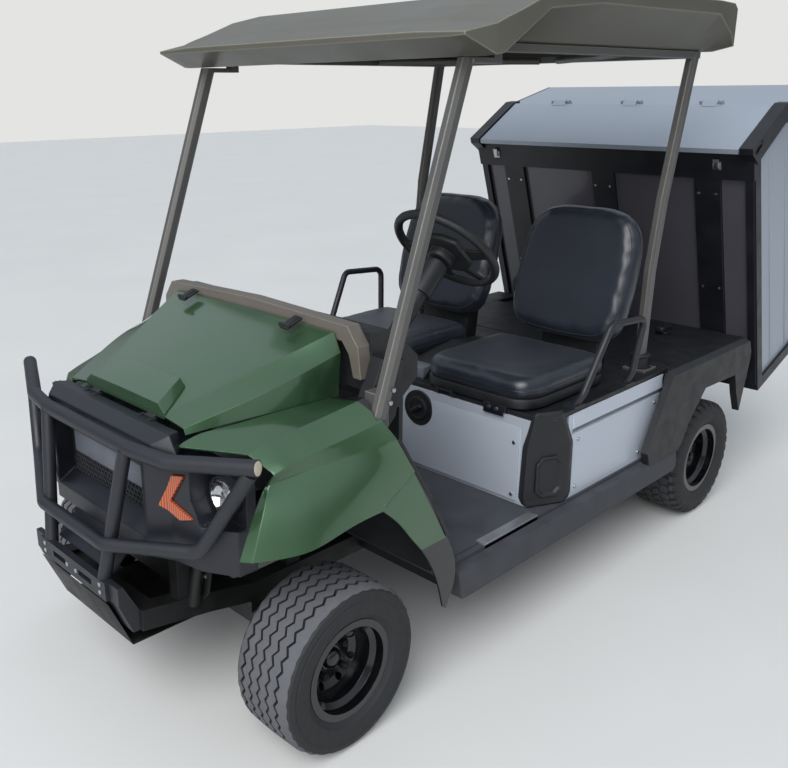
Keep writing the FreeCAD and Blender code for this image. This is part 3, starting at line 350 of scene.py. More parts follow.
def surface(name, dark, light, patch_mm, rough, grain_mm, grain_depth, edge_mm=0.0, edge_colour=None, **fixed):
    """Finish with two close shades in soft patches, a grain in its relief, and edges softened, with rims lightened
    partly as wear and partly as painted highlight.
    """
    finish = bpy.data.materials.new(name)
    finish.use_nodes = True
    tree = finish.node_tree
    tree.nodes.clear()
    place = add(tree, "TexCoord").outputs["Object"]
    patches = add(tree, "TexNoise", {"Vector": place, "Scale": 1000 / patch_mm, "Detail": 4.0})
    grain = add(tree, "TexNoise", {"Vector": place, "Scale": 1000 / grain_mm, "Detail": 3.0})
    colour = add(tree, "Mix", {"Factor": patches.outputs["Fac"], "A": linear(dark), "B": linear(light)},
                 data_type="RGBA")
    shade = colour.outputs["Result"]
    shine = add(tree, "MapRange", {"Value": patches.outputs["Fac"], "From Min": 0.3, "From Max": 0.7,
                                   "To Min": rough[0], "To Max": rough[1]})
    bump_links = {"Height": grain.outputs["Fac"], "Distance": grain_depth * MM, "Strength": 1.0}
    if edge_mm:
        rounded = add(tree, "Bevel", {"Radius": edge_mm * MM}, samples=4)
        bump_links["Normal"] = rounded.outputs["Normal"]
        if edge_colour:
            # the lighter shade on the rims of edges is partly wear and partly painted highlight
            true_normal = add(tree, "NewGeometry").outputs["Normal"]
            turn = add(tree, "VectorMath", {0: rounded.outputs["Normal"], 1: true_normal},
                       operation="DOT_PRODUCT")
            wear_and_highlight = add(tree, "MapRange", {"Value": turn.outputs["Value"], "From Min": 0.985,
                                          "From Max": 0.90, "To Min": 0.0, "To Max": 0.8})
            mixed = add(tree, "Mix", {"Factor": wear_and_highlight.outputs["Result"], "A": shade,
                                      "B": linear(edge_colour)}, data_type="RGBA")
            shade = mixed.outputs["Result"]
    bump = add(tree, "Bump", bump_links)
    body = add(tree, "BsdfPrincipled", {"Base Color": shade, "Roughness": shine.outputs["Result"],
                                        "Normal": bump.outputs["Normal"]})
    for key, value in fixed.items():
        body.inputs[key.replace("_", " ")].default_value = value
    add(tree, "OutputMaterial", {"Surface": body.outputs["BSDF"]})
    return finish


def node_of(finish, kind):
    """First node of that kind in the finish."""
    return next(n for n in finish.node_tree.nodes if n.bl_idname == "ShaderNode" + kind)


def mix_into(finish, socket, old, links, **settings):
    """Mixes something into one input of the finish; old names the side that keeps what fed it before."""
    target = node_of(finish, "BsdfPrincipled").inputs[socket]
    links = {"Factor": 1.0, old: target.links[0].from_socket, **links}
    mixed = add(finish.node_tree, "Mix", links, **settings)
    finish.node_tree.links.new(mixed.outputs["Result"], target)


def green_metallic_enamel():
    """Sprayed enamel under a clear coat; fine flakes catch the light, so slopes differ in brightness."""
    shades = bpy.context.scene.cart_finishes
    finish = surface("green_metallic_enamel", shades.paint_dark, shades.paint_light, 300, (0.30, 0.38), 0.8, 0.0015,
                     3.0, Metallic=0.6, Coat_Weight=1.0, Coat_Roughness=0.10, Coat_IOR=1.5)
    place = node_of(finish, "TexCoord").outputs["Object"]
    flakes = add(finish.node_tree, "TexVoronoi", {"Vector": place, "Scale": 1000 / FLAKE_MM})
    bright = add(finish.node_tree, "MapRange", {"Value": flakes.outputs["Distance"], "From Min": 0.1,
                                                "From Max": 0.6, "To Min": 1.15, "To Max": 0.92})
    mix_into(finish, "Base Color", "A", {"B": bright.outputs["Result"]}, data_type="RGBA", blend_type="MULTIPLY")
    return finish


def two_tone_wing():
    """The enamel with the bare black moulding of the wing's rear leg, below the seam."""
    finish = green_metallic_enamel()
    finish.name = "green_enamel_over_black_moulding"
    tree = finish.node_tree
    place = node_of(finish, "TexCoord").outputs["Object"]
    split = add(tree, "SeparateXYZ", {"Vector": place})
    top, foot = at(-163, 0, 842), at(-341, 0, 509)
    slope = (top.x - foot.x) / (top.z - foot.z)
    along = add(tree, "Math", {0: split.outputs["Z"], 1: -slope, 2: split.outputs["X"]},
                operation="MULTIPLY_ADD")
    ahead = add(tree, "Math", {0: along.outputs["Value"], 1: foot.x - slope * foot.z},
                operation="GREATER_THAN")
    above = add(tree, "Math", {0: split.outputs["Z"], 1: PAINT_FOOT_Z}, operation="GREATER_THAN")
    painted = add(tree, "Math", {0: ahead.outputs["Value"], 1: above.outputs["Value"]},
                  operation="MULTIPLY").outputs["Value"]
    mix_into(finish, "Base Color", "B", {"Factor": painted, "A": linear("1C1D20")}, data_type="RGBA")
    mix_into(finish, "Roughness", "B", {"Factor": painted, "A": 0.55})
    return finish


def ribbed_amber():
    """Amber acrylic with upright ribs moulded inside, so it shows bright and dark stripes."""
    finish = surface("amber_acrylic_lens", "5E1D08", "78280A", 30, (0.10, 0.18), 4.0, 0.02, Coat_Weight=0.8,
                     Emission_Color=linear("C8500F"), Emission_Strength=0.04)
    place = node_of(finish, "TexCoord").outputs["Object"]
    ribs = add(finish.node_tree, "TexWave", {"Vector": place, "Scale": 2000 / RIB_MM / math.tau},
               bands_direction="Y")
    mix_into(finish, "Base Color", "A", {"Factor": ribs.outputs["Fac"], "B": linear("B8551F")}, data_type="RGBA")
    return finish


# A row is: name, dark and light shade, size of the patches, roughness from and to, size and depth of the grain in
# millimetres, then for some the width of the softened edges and the lighter shade of their rims, partly wear and partly
# painted highlight, and last the shader's fixed values
FINISHES = {
    # moulded polypropylene: dull, with a fine leathery grain
    "black_moulding": ("black_grained_polypropylene", "121417", "191B1F", 60, (0.45, 0.6), 1.6, 0.06, 2.5, "34373D",
                       {"IOR": 1.49}),
    # the deep lip and the panel below it are smoother than the rest, with well rounded edges
    "nose_moulding": ("smooth_black_polypropylene", "14161C", "1B1E26", 120, (0.34, 0.44), 1.6, 0.02, 7.0,
                      {"IOR": 1.49}),
    "tray_grey": ("grey_moulded_polypropylene", "565A62", "666B74", 60, (0.4, 0.5), 1.6, 0.04, 3.0, "8A909A",
                  {"IOR": 1.49}),
    "cowl_moulding": ("taupe_moulded_abs", "57514B", "69635B", 120, (0.32, 0.45), 1.4, 0.02, 4.0, "8C857A",
                      {"IOR": 1.53}),
    # black chassis enamel, darkened to near black: partly its own black, partly painted shade under the cart
    "frame_enamel_with_painted_shade": ("black_chassis_enamel", "070708", "0D0E0F", 50, (0.5, 0.7), 4.0, 0.1, 2.0, "1E1F21", {}),
    # powder coat over bent steel tube: orange-peel relief about 2 mm across
    "guard_coat": ("grey_powder_coated_tube", "181A1F", "21242B", 90, (0.42, 0.55), 2.2, 0.04, {}),
    # the pale edge shade of the struts is a painted highlight where the sun catches their edges
    "strut_coat": ("bronze_grey_powder_coat", "4C4C4E", "5B5A56", 160, (0.35, 0.48), 2.0, 0.03, 5.0, "8E8B80",
                   {"Metallic": 0.2}),
    "cast_iron": ("rough_cast_iron", "1A1A1C", "2B2A29", 30, (0.5, 0.75), 3.0, 0.25, 2.0, {"Metallic": 0.5}),
    "engine_block": ("painted_drive_housing", "17181A", "25262A", 70, (0.45, 0.7), 5.0, 0.2, 6.0, {"Metallic": 0.3}),
    # clear-anodised aluminium sheet: pale, slightly blue, brushed too finely to show. The seat box and the cargo box
    # share it, painted lighter on the seat box and darker on the cargo box as painted light and painted shade
    "seat_sheet_painted_lighter": ("anodised_aluminium_sheet", "AEB6C2", "BDC4CE", 400, (0.34, 0.42), 1.2, 0.01, 1.5, "DCE0E5",
                   {"Metallic": 0.3}),
    # the same sheet, painted darker as painted shade
    "box_sheet": ("anodised_box_sheet", "939CA8", "A2AAB5", 400, (0.32, 0.40), 1.2, 0.01, 1.5, "CDD2D8",
                  {"Metallic": 0.35}),
    "box_panel": ("smoked_grey_gloss_panel", "44434A", "545259", 500, (0.14, 0.22), 3.0, 0.006,
                  {"IOR": 1.49, "Coat_Weight": 0.4, "Coat_Roughness": 0.08}),
    "box_black": ("black_anodised_section", "0C0F14", "14171E", 90, (0.35, 0.5), 2.0, 0.02, 1.5, "2C3038", {}),
    # PVC-coated cloth: soft sheen with a fine hide grain; its blue tint is a painted sky reflection on the black vinyl
    "vinyl": ("black_seat_vinyl", "161A22", "212733", 120, (0.30, 0.38), 1.5, 0.05,
              {"IOR": 1.55, "Sheen_Weight": 0.06}),
    "rubber": ("tyre_rubber", "1B1C1E", "27282B", 25, (0.7, 0.88), 2.5, 0.08, {"IOR": 1.5}),
    # road dust dries pale grey on the part of the tyre that runs on the ground
    "road_rubber": ("dusty_tread_rubber", "4C4D51", "5F6065", 18, (0.85, 0.97), 2.0, 0.15, {"IOR": 1.5}),
    "lug_rubber": ("lugged_tread_rubber", "2F3134", "404246", 18, (0.8, 0.95), 2.0, 0.15, {"IOR": 1.5}),
    "wheel_enamel": ("gloss_black_wheel_enamel", "060709", "0B0C0F", 80, (0.16, 0.28), 3.0, 0.01, 1.5,
                     {"Coat_Weight": 0.4, "Coat_Roughness": 0.08}),
    # the pale edge shade of the roof is a painted highlight along its lips
    "roof_skin": ("olive_grey_roof_moulding", "4C4B44", "5A594F", 260, (0.32, 0.45), 2.4, 0.03, 6.0, "99978A", {}),
    "floor_mat": ("dusty_floor_rubber", "25262A", "484A51", 70, (0.7, 0.85), 2.2, 0.2, {}),
    "zinc": ("zinc_plated_steel", "9FA3A8", "C3C6C9", 12, (0.25, 0.4), 1.5, 0.02, {"Metallic": 1.0}),
    "worn_metal": ("bare_aluminium_tread_plate", "8F9296", "AEB0B3", 40, (0.32, 0.5), 1.0, 0.02, {"Metallic": 0.8}),
    "plug": ("pale_pressed_plug", "B4AB97", "C6BEAB", 30, (0.4, 0.5), 2.0, 0.02, {"IOR": 1.49}),
    "chrome": ("vacuum_metallised_reflector", "C9CBCE", "DDDEDF", 40, (0.06, 0.12), 3.0, 0.002, {"Metallic": 1.0}),
    "lens": ("clear_polycarbonate_lens", "F4F6F7", "FFFFFF", 90, (0.02, 0.05), 4.0, 0.002,
             {"Transmission_Weight": 1.0, "IOR": 1.58}),
}
MIXED_FINISHES = {"amber": ribbed_amber, "green": green_metallic_enamel, "wing_green": two_tone_wing}
MADE = {}


def get_finish(name):
    """The finish of that name, made when a piece first asks for it."""
    if name not in MADE:
        if name in MIXED_FINISHES:
            MADE[name] = MIXED_FINISHES[name]()
        else:
            *values, fixed = FINISHES[name]
            MADE[name] = surface(*values, **fixed)
    return MADE[name]


SHOWN_NODES = {
    "frame_enamel_with_painted_shade": ("frame", "front_axle"),
    "cast_iron": ("rear_axle", "knuckle"),
    "engine_block": ("powertrain",),
    "floor_mat": ("floor",),
    "cowl_moulding": ("cowl",),
    "nose_moulding": ("fascia",),
    "black_moulding": ("dash", "grille", "port_cover", "seat_base", "steering_column", "rear_wing", "pedal_brake",
                       "pedal_drive"),
    "guard_coat": ("brush_guard", "hip_rail"),
    "seat_sheet_painted_lighter": ("seat_panels",),
    "strut_coat": ("canopy_frame",),
    "roof_skin": ("roof",),
    "box_sheet": ("box_shell", "box_lid"),
    "box_black": ("box_frame",),
    "box_panel": ("box_front",),
    "amber": ("marker",),
    "wheel_enamel": ("rim_front", "rim_rear"),
}


class CART_PG_finishes(bpy.types.PropertyGroup):
    """Colours of the main finishes"""

    paint_dark: bpy.props.StringProperty(name="Paint, dark shade", description="sRGB hex value", default="35533A")
    paint_light: bpy.props.StringProperty(name="Paint, light shade", description="sRGB hex value", default="446645")


class CART_PG_tyres(bpy.types.PropertyGroup):
    """Sizes of the treads"""

    pitches: bpy.props.IntProperty(name="Sawtooth pitches", description="Teeth round a front tyre", default=38,
                                   min=12, max=90)
    groove_depth: bpy.props.FloatProperty(name="Groove depth", description="Depth of the front grooves",
                                          default=0.007, unit="LENGTH")
    lugs: bpy.props.IntProperty(name="Lugs round", description="Lugs in a row of a rear tyre", default=34)


class CART_PG_seats(bpy.types.PropertyGroup):
    """Padding of the seats"""

    fill: bpy.props.FloatProperty(name="Fill", description="0 is slack, 1 is tight", default=0.75, min=0, max=1)
    swell: bpy.props.FloatProperty(name="Swell", description="Most that a point of the padding may move",
                                   default=0.010, unit="LENGTH")


class CART_PG_stage(bpy.types.PropertyGroup):
    """Floor and light"""

    floor_shade: bpy.props.StringProperty(name="Floor", description="sRGB hex value", default="C9C9C7")
    key_strength: bpy.props.FloatProperty(name="Key light", description="Strength of the broad top light",
                                          default=1.9)
    fill_power: bpy.props.FloatProperty(name="Fill light", description="Power of the large lamp in front",
                                        default=160.0, unit="POWER")


class CART_OT_stage(bpy.types.Operator):
    """Camera at the photograph's place, pale floor and soft light"""

    bl_idname = "cart.stage"
    bl_label = "Stage"

    def execute(self, context):
        size = context.scene.cart_stage
        bpy.ops.object.camera_add(location=(2.62675, 2.0057, 1.6884))
        camera = bpy.context.object
        camera.name = "view_from_front_left"
        pitch, roll, yaw = math.radians(17.46), math.radians(-0.58), math.radians(227.05)
        level = Euler((math.pi / 2 - pitch, 0, yaw - math.pi / 2)).to_matrix()
        camera.rotation_euler = (level @ Matrix.Rotation(roll, 3, "Z")).to_euler()
        camera.data.sensor_width = 36
        camera.data.lens = 40.17
        camera.data.shift_x, camera.data.shift_y = 0.0799, -0.0219
        context.scene.camera = camera

        bpy.ops.mesh.primitive_plane_add(size=60, location=(0, 0, -0.0005))
        floor = settle("studio_floor")
        floor.data.materials.append(surface("matt_painted_floor", size.floor_shade, "D2D2D0", 900, (0.85, 0.95),
                                            6.0, 0.1))

        bpy.ops.object.light_add(type="SUN", rotation=Vector((0.60, 0.30, 0.74)).to_track_quat("Z", "Y").to_euler())
        sun = bpy.context.object
        sun.name, sun.data.energy, sun.data.angle = "broad_top_light", size.key_strength, math.radians(40)
        bpy.ops.object.light_add(type="AREA", location=(5.2, 2.6, 3.4),
                                 rotation=Vector((5.2, 2.6, 2.6)).to_track_quat("Z", "Y").to_euler())
        side = bpy.context.object
        side.name, side.data.energy, side.data.size = "front_fill", size.fill_power, 4.0
        world = bpy.data.worlds.new("pale_studio")
        context.scene.world = world
        world.use_nodes = True
        tree = world.node_tree
        tree.nodes.clear()
        way = add(tree, "TexCoord").outputs["Generated"]
        height = add(tree, "SeparateXYZ", {"Vector": way}).outputs["Z"]
        fade = add(tree, "MapRange", {"Value": height, "From Min": 0.02, "From Max": 0.48})
        sky = add(tree, "Mix", {"Factor": fade.outputs["Result"], "A": linear("55534D"),
                                "B": linear("E6EFFA")}, data_type="RGBA")
        seen = add(tree, "LightPath")
        plain = add(tree, "Background", {"Color": sky.outputs["Result"], "Strength": 0.74})
        shown = add(tree, "Background", {"Color": linear("E4E4E2"), "Strength": 1.0})
        mixed = add(tree, "MixShader", {0: seen.outputs["Is Camera Ray"], 1: plain.outputs[0],
                                        2: shown.outputs[0]})
        add(tree, "OutputWorld", {"Surface": mixed.outputs[0]})
        context.scene.view_settings.view_transform = "Standard"
        return {"FINISHED"}


class CART_OT_node_finishes(bpy.types.Operator):
    """Finishes of the pieces whose shape comes from the part"""

    bl_idname = "cart.node_finishes"
    bl_label = "Panels and frames"

    def execute(self, context):
        looks = {kind: look for look, kinds in SHOWN_NODES.items() for kind in kinds}
        for name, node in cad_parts.items():
            kind = name.removesuffix("_left").removesuffix("_right")
            if kind not in looks:
                continue
            node.data.materials.clear()
            node.data.materials.append(get_finish(looks[kind]))
            for face in node.data.polygons:
                face.material_index = 0
        return {"FINISHED"}


class CART_OT_painted_panels(bpy.types.Operator):
    """Hood with its boss and hinge barrels, and the front wings with their rear legs"""

    bl_idname = "cart.painted_panels"
    bl_label = "Painted panels"

    def execute(self, context):
        self.hood()
        wing = self.wing()
        for tag, side in SIDES:
            made = on_side(wing, side, "front_wing_skin_" + tag)
            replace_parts(put_on(made, "wing_green", "chassis", 14), "front_wing_" + tag)
        bpy.data.objects.remove(wing)
        return {"FINISHED"}

    def hood(self):
        rows = []
        for x, half in ((-170, [(0, 732), (200, 731), (366, 728), (392, 676), (382, 551)]),
                        (-60, [(0, 692), (176, 690), (327, 687), (384, 649), (386, 558)]),
                        (40, [(0, 652), (150, 650), (282, 646), (376, 623), (384, 564)]),
                        (150, [(0, 609), (128, 606), (238, 602), (333, 587), (337, 551)]),
                        (262, [(0, 565), (100, 564), (186, 561), (284, 550), (291, 534)])):
            line = [at(x, y, z + NOSE_RISE) for y, z in half]
            rows.append([at(x, -y, z + NOSE_RISE) for y, z in reversed(half[1:])] + line)
        creases = [([row[i] for row in rows], amount) for i, amount in ((1, 1.0), (2, 1.0), (6, 1.0), (7, 1.0))]
        skin = pressed("hood_skin", [net("hood_net", rows)], creases, 7.0)
        rear = [(-150, 594), (-150, 603), (-130, 623), (0, 625), (130, 623), (150, 603), (150, 594)]
        front = [(-200, 552), (-200, 564), (-172, 586), (0, 588), (172, 586), (200, 564), (200, 552)]
        middle = [(-176, 572), (-176, 585), (-151, 606), (0, 608), (151, 606), (176, 585), (176, 572)]
        stations = ((150, [(y, z - 16) for y, z in rear]), (163, rear), (212, middle), (261, front),
                    (262, [(y, 550) for y, z in front]))
        boss_rows = [[at(x, y, z + NOSE_RISE) for y, z in line] for x, line in stations]
        boss_lines = [([row[i] for row in boss_rows[1:4]], 1.0) for i in (1, 2, 4, 5)]
        boss_lines += [(boss_rows[1], 1.0), (boss_rows[3], 1.0)]
        boss = pressed("hood_boss", [net("boss", boss_rows)], boss_lines, 3.0)
        hinges = []
        for y in (-140, 140):
            leaf = [at(HOOD_PIN_X + x, y - 18, HOOD_PIN_Z + z)
                    for x, z in ((-28, 17), (-9, 12), (3, 1), (-3, -4), (-12, 2), (-28, 8))]
            hinges.append(plate("leaf", leaf, Vector((0, 0.036, 0)), 1.0))
            ends = [at(HOOD_PIN_X, y + dy, HOOD_PIN_Z) for dy in (-19, 19)]
            hinges.append(bar("barrel", *ends, 5.0, 20))
        put_on(joined("hood_hinge_leaves", hinges), body="hood")
        put_on(boss, "green", "hood", 14)
        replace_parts(put_on(skin, "green", "hood", 14), "hood")

    def wing(self):
        """Left wing: rows run from the cowl to the nose, each from the hood's edge out and down."""
        stations = [
            [(-170, 389, 550), (-134, 515, 584), (-136, 575, 540), (-160, 604, 494), (-190, 610, 436),
             (-222, 614, 385)],
            [(-75, 391, 555), (-65, 504, 570), (-68, 566, 527), (-77, 580, 484), (-92, 606, 420), (-97, 617, 321)],
            [(13, 390, 559), (9, 485, 552), (3, 548, 511), (7, 556, 470), (8, 600, 420), (7, 622, 325)],
            [(90, 366, 552), (64, 474, 542), (54, 538, 502), (66, 538, 462), (82, 592, 402), (95, 615, 302)],
            [(150, 350, 543), (100, 466, 531), (90, 530, 493), (105, 524, 455), (134, 577, 396), (165, 605, 290)],
            [(237, 304, 533), (151, 455, 520), (141, 520, 482), (173, 504, 446), (216, 532, 386),
             (262, 543, 285)],
            [(288, 292, 508), (192, 448, 506), (168, 512, 471), (184, 500, 440), (222, 506, 380),
             (276, 514, 281)]]
        rows = [[at(x, y, z + NOSE_RISE) for x, y, z in row] for row in stations]
        leg = [[rows[0][5], rows[1][5]]]
        for rear, front in (((-280, 639), (-160, 616)), ((-310, 582), (-203, 551)), ((-334, 532), (-243, 510)),
                            ((-404, 395), (-302, 407)), ((-336, 293), (-324, 301))):
            leg.append([at(x, 640 - 30 * (z - 290) / 552, z) for x, z in (rear, front)])
        creases = [([row[i] for row in rows], amount) for i, amount in ((1, 1.0), (2, 1.0), (3, 1.0))]
        creases.append((rows[5][2:], 1.0))
        creases += [([leg[i][0], leg[i + 1][0]], 1.0) for i in range(5)]
        skin = pressed("wing_skin", [net("wing_net", rows), net("leg_net", leg)], creases, 6.0)
        notch = block("notch", Vector((-26, -20, -20)) * MM, Vector((26, 20, 90)) * MM)
        notch.data.transform(placed(at(-147, 552, 890), -17.8))
        apply_modifier(skin, "BOOLEAN", operation="DIFFERENCE", object=notch, solver="EXACT")
        bpy.data.objects.remove(notch)
        return skin


# Treads in metres: where tread and shoulder begin, as radius and half width, and how far the teeth stand to each side
TREAD_FROM, TREAD_HALF = 0.2275, 0.073
SHOULDER_FROM, SHOULDER_HALF = 0.2255, 0.085
TOOTH_SHIFT = 0.0062
# Size of every second step of the shoulder, beside the others
SCALLOP = 0.984
# Radius from which the road's dust lies, and how far sideways a clean face of the wall looks
DUST_FROM, WALL_TURN = 0.2285, 0.75


def out_from(centre, place):
    """Distance of a place from the axle of the wheel."""
    return math.hypot(place.x - centre.x, place.z - centre.z)


class CART_OT_tyres(bpy.types.Operator):
    """Sawtooth ribs on the front tyres and staggered lugs on the rear ones"""

    bl_idname = "cart.tyres"
    bl_label = "Tyres"

    def execute(self, context):
        size = context.scene.cart_tyres
        for end, shape, tread in (("front", self.ribbed, "road_rubber"), ("rear", self.lugged, "lug_rubber")):
            centre = middle_of("tyre_%s_left" % end)
            model = shape(end + "_tyre_model", centre, size)
            for tag, side in SIDES:
                name = "tyre_%s_%s" % (end, tag)
                made = on_side(model, side, "treaded_" + name)
                put_on(made, tread, "wheel_%s_%s" % (end, tag), 30)
                made.data.materials.append(get_finish("rubber"))
                for face in made.data.polygons:
                    if out_from(centre, face.center) < DUST_FROM or abs(face.normal.y) > WALL_TURN:
                        face.material_index = 1
                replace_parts(made, name)
            bpy.data.objects.remove(model)
        return {"FINISHED"}

    def ribbed(self, name, centre, size):
        """Road tyre with five sawtooth grooves and scalloped shoulders."""
        deep = size.groove_depth / MM
        crown = [(228, 97), (233.5, 88)]
        for groove in (66, 33, 0, -33, -66):
            top = 237 - 1.4 * (abs(groove) / 66.0) ** 2
            crown += [(top, groove + 4.5), (top - deep, groove + 3.2), (top - deep, groove - 3.2), (top, groove - 4.5)]
        crown += [(233.5, -88), (228, -97)]
        side = [(129, 82), (140, 88), (150, 97), (156, 100), (158, 103), (170, 106), (184, 107.3), (198, 107),
                (200, 105.5), (206, 105.5), (208, 106.5), (218, 104), (222, 103), (224, 100)]
        rows = side + crown + [(r, -a) for r, a in reversed(side)] + [(129, 82)]
        steps = size.pitches * 2
        tyre = turned(name, rows, centre, steps=steps)

        def step_of(place):
            return round(math.atan2(place.x - centre.x, place.z - centre.z) / math.tau * steps)

        def on_tread(place):
            return out_from(centre, place) > TREAD_FROM and abs(place.y - centre.y) < TREAD_HALF

        for odd, shift in ((0, TOOTH_SHIFT), (1, -TOOTH_SHIFT)):
            pick(tyre, lambda p: on_tread(p) and step_of(p) % 2 == odd)
            bpy.ops.transform.translate(value=(0, shift, 0))
            bpy.ops.object.mode_set(mode="OBJECT")

        def on_shoulder(place):
            return out_from(centre, place) > SHOULDER_FROM and abs(place.y - centre.y) > SHOULDER_HALF

        pick(tyre, lambda p: on_shoulder(p) and step_of(p) % 2 == 1)
        bpy.ops.transform.resize(value=(SCALLOP, 1, SCALLOP), center_override=centre)
        bpy.ops.object.mode_set(mode="OBJECT")
        return tyre

    def lugged(self, name, centre, size):
        """All-terrain tyre: a plain case with rows of chunky lugs."""
        side = [(129, 82), (140, 88), (150, 97), (158, 102), (172, 106), (188, 107.3), (200, 106), (212, 103),
                (222, 96), (227, 84), (229, 60), (229.5, 30)]
        case = turned(name, side + [(r, -a) for r, a in reversed(side)] + [(129, 82)], centre, steps=96)
        rows = []
        for across, along, wide, turn, row_shift, height in (
                (18, 26, 30, 24, 0.0, 236.8), (-18, 26, 30, -24, 0.5, 236.8), (56, 28, 32, -14, 0.45, 236.2),
                (-56, 28, 32, 14, 0.95, 236.2)):
            lug = block("lug", Vector((-along / 2, -wide / 2, 226)) * MM, Vector((along / 2, wide / 2, height)) * MM,
                        2.0, 1)
            lug.data.transform(placed(centre + Vector((0, across * MM, 0)), turn, "Z"))
            rows.append((lug, row_shift))
        for way, row_shift in ((1, 0.1), (-1, 0.6)):
            outline = [(76, 226), (76, 235.6), (90, 233.5), (102, 222), (105.5, 204), (101, 202), (92, 216)]
            points = [centre + Vector((-0.0125, way * a * MM, r * MM)) for a, r in outline]
            rows.append((plate("shoulder_lug", points, Vector((0.025, 0, 0)), 1.6, 1), row_shift))
        pitch = 360 / size.lugs
        lugs = [repeated("lugs", lug, [turn_about(centre, pitch * (i + row_shift)) for i in range(size.lugs)])
                for lug, row_shift in rows]
        return joined(name, lugs + [case])


class CART_OT_wheels(bpy.types.Operator):
    """Hub caps, wheel nuts and valves"""

    bl_idname = "cart.wheels"
    bl_label = "Wheels"

    def execute(self, context):
        for end in ("front", "rear"):
            for tag, side in SIDES:
                corner = "%s_%s" % (end, tag)
                centre = middle_of("tyre_" + corner)
                out = Vector((0, side, 0))
                cap = turned("cap", [(0, 34), (14, 33), (24, 28), (29, 20), (30, 12), (30, 2)], centre, out, 40)
                nuts = []
                for i in range(4):
                    a = math.radians(45 + 90 * i)
                    foot = centre + Vector((50.8 * math.cos(a), 0, 50.8 * math.sin(a))) * MM
                    nuts.append(bar("nut", foot + out * 0.018, foot + out * 0.036, 10.5, 6, 1.2))
                    nuts.append(bar("stud", foot + out * 0.030, foot + out * 0.041, 5.5, 16, 1.0))
                put_on(joined("wheel_nuts_" + corner, nuts), "cast_iron", "wheel_" + corner)
                put_on(joined("hub_cap_" + corner, [cap]), "wheel_enamel", "wheel_" + corner)
                foot = centre + Vector((0.098, 0, 0.0)) + out * 0.016
                valve = [bar("stem", foot, foot + out * 0.026, 3.2, 12),
                         bar("tip", foot + out * 0.022, foot + out * 0.034, 4.2, 12, 0.8)]
                put_on(joined("valve_" + corner, valve), body="wheel_" + corner)
        return {"FINISHED"}


